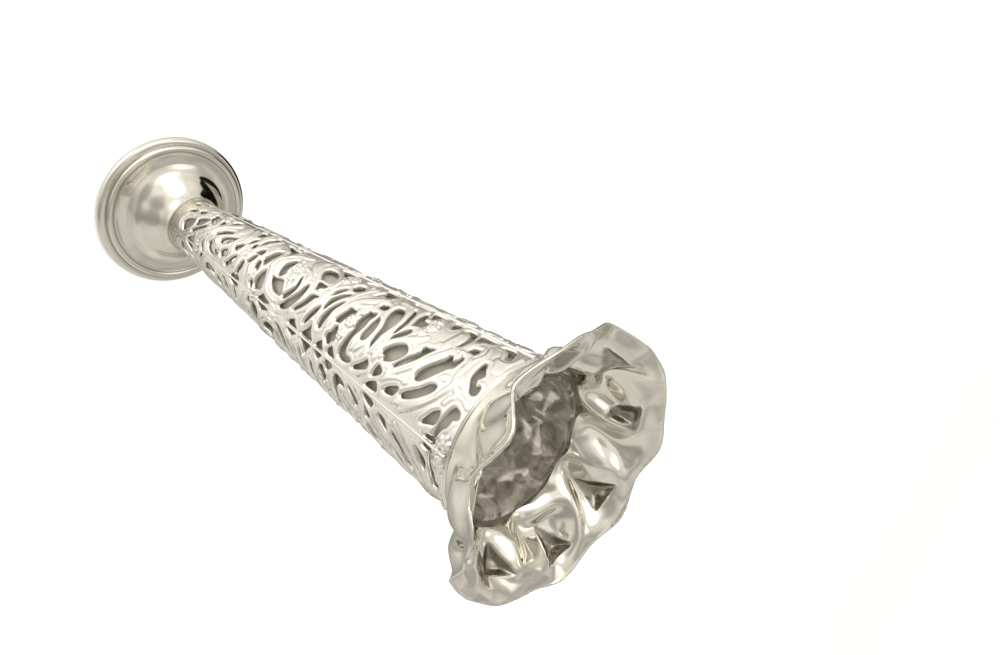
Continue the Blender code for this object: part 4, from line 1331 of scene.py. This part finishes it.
class VASE_OT_stage(bpy.types.Operator):
    """Build the pale floor, the tent, the softboxes and the camera"""

    bl_idname = "vase.stage"
    bl_label = "Stage"

    def execute(self, context):
        corners = ((-1, -1), (1, -1), (1, 1), (-1, 1))
        points = [(x * FLOOR_REACH, y * FLOOR_REACH, FLOOR_HEIGHT) for x, y in corners]
        paper = new_material("floor paper", Base_Color=(0.88, 0.88, 0.87, 1.0), Roughness=0.9)[0]
        floor = add_sheet("floor", points, paper)
        floor.visible_glossy = False
        floor.visible_transmission = False
        studio_world()
        add_softbox("key softbox", (-0.55, -0.25, 0.85), size=0.70, power=4.0, colour=(1.0, 0.99, 0.97))
        add_softbox("back softbox", (0.30, 0.80, 0.90), size=0.60, power=3.0, colour=(1.0, 1.0, 1.0))
        place, facing = (-0.0192, 0.0307, 0.0040), (-0.33, 0.87, -0.28)
        add_card(place, facing, half_width=0.0160, half_rise=0.0076, lean=0.20)
        camera = add_object("camera", bpy.data.cameras.new("camera"))
        camera.data.sensor_width = 36.0
        camera.data.lens = 27.72
        camera.data.clip_start = 0.005
        set_pose(camera, CAMERA_AXES, CAMERA_PLACE)
        context.scene.camera = camera
        context.scene.view_settings.view_transform = "Standard"
        return {"FINISHED"}


class VASE_PT_panel(bpy.types.Panel):
    """Sizes, finish and the steps that build the vase"""

    bl_label = "Trumpet vase"
    bl_idname = "VASE_PT_panel"
    bl_space_type = "VIEW_3D"
    bl_region_type = "UI"
    bl_category = "Trumpet vase"

    def draw(self, context):
        layout = self.layout
        for group in (context.scene.vase_sizes, context.scene.vase_finish):
            for name in group.bl_rna.properties.keys():
                if name not in {"rna_type", "name"}:
                    layout.prop(group, name)
        for operator in STEPS:
            layout.operator(operator.bl_idname)


STEPS = (VASE_OT_foot, VASE_OT_body, VASE_OT_mouth, VASE_OT_liner, VASE_OT_stage)
CLASSES = (VaseSizes, VaseFinish) + STEPS + (VASE_PT_panel,)


def register():
    for one in CLASSES:
        bpy.utils.register_class(one)
    bpy.types.Scene.vase_sizes = bpy.props.PointerProperty(type=VaseSizes)
    bpy.types.Scene.vase_finish = bpy.props.PointerProperty(type=VaseFinish)


def unregister():
    del bpy.types.Scene.vase_finish
    del bpy.types.Scene.vase_sizes
    for one in reversed(CLASSES):
        bpy.utils.unregister_class(one)


def main():
    register()
    bpy.ops.vase.foot()
    bpy.ops.vase.body()
    bpy.ops.vase.mouth()
    bpy.ops.vase.liner()
    bpy.ops.vase.stage()


if __name__ == "__main__":
    main()
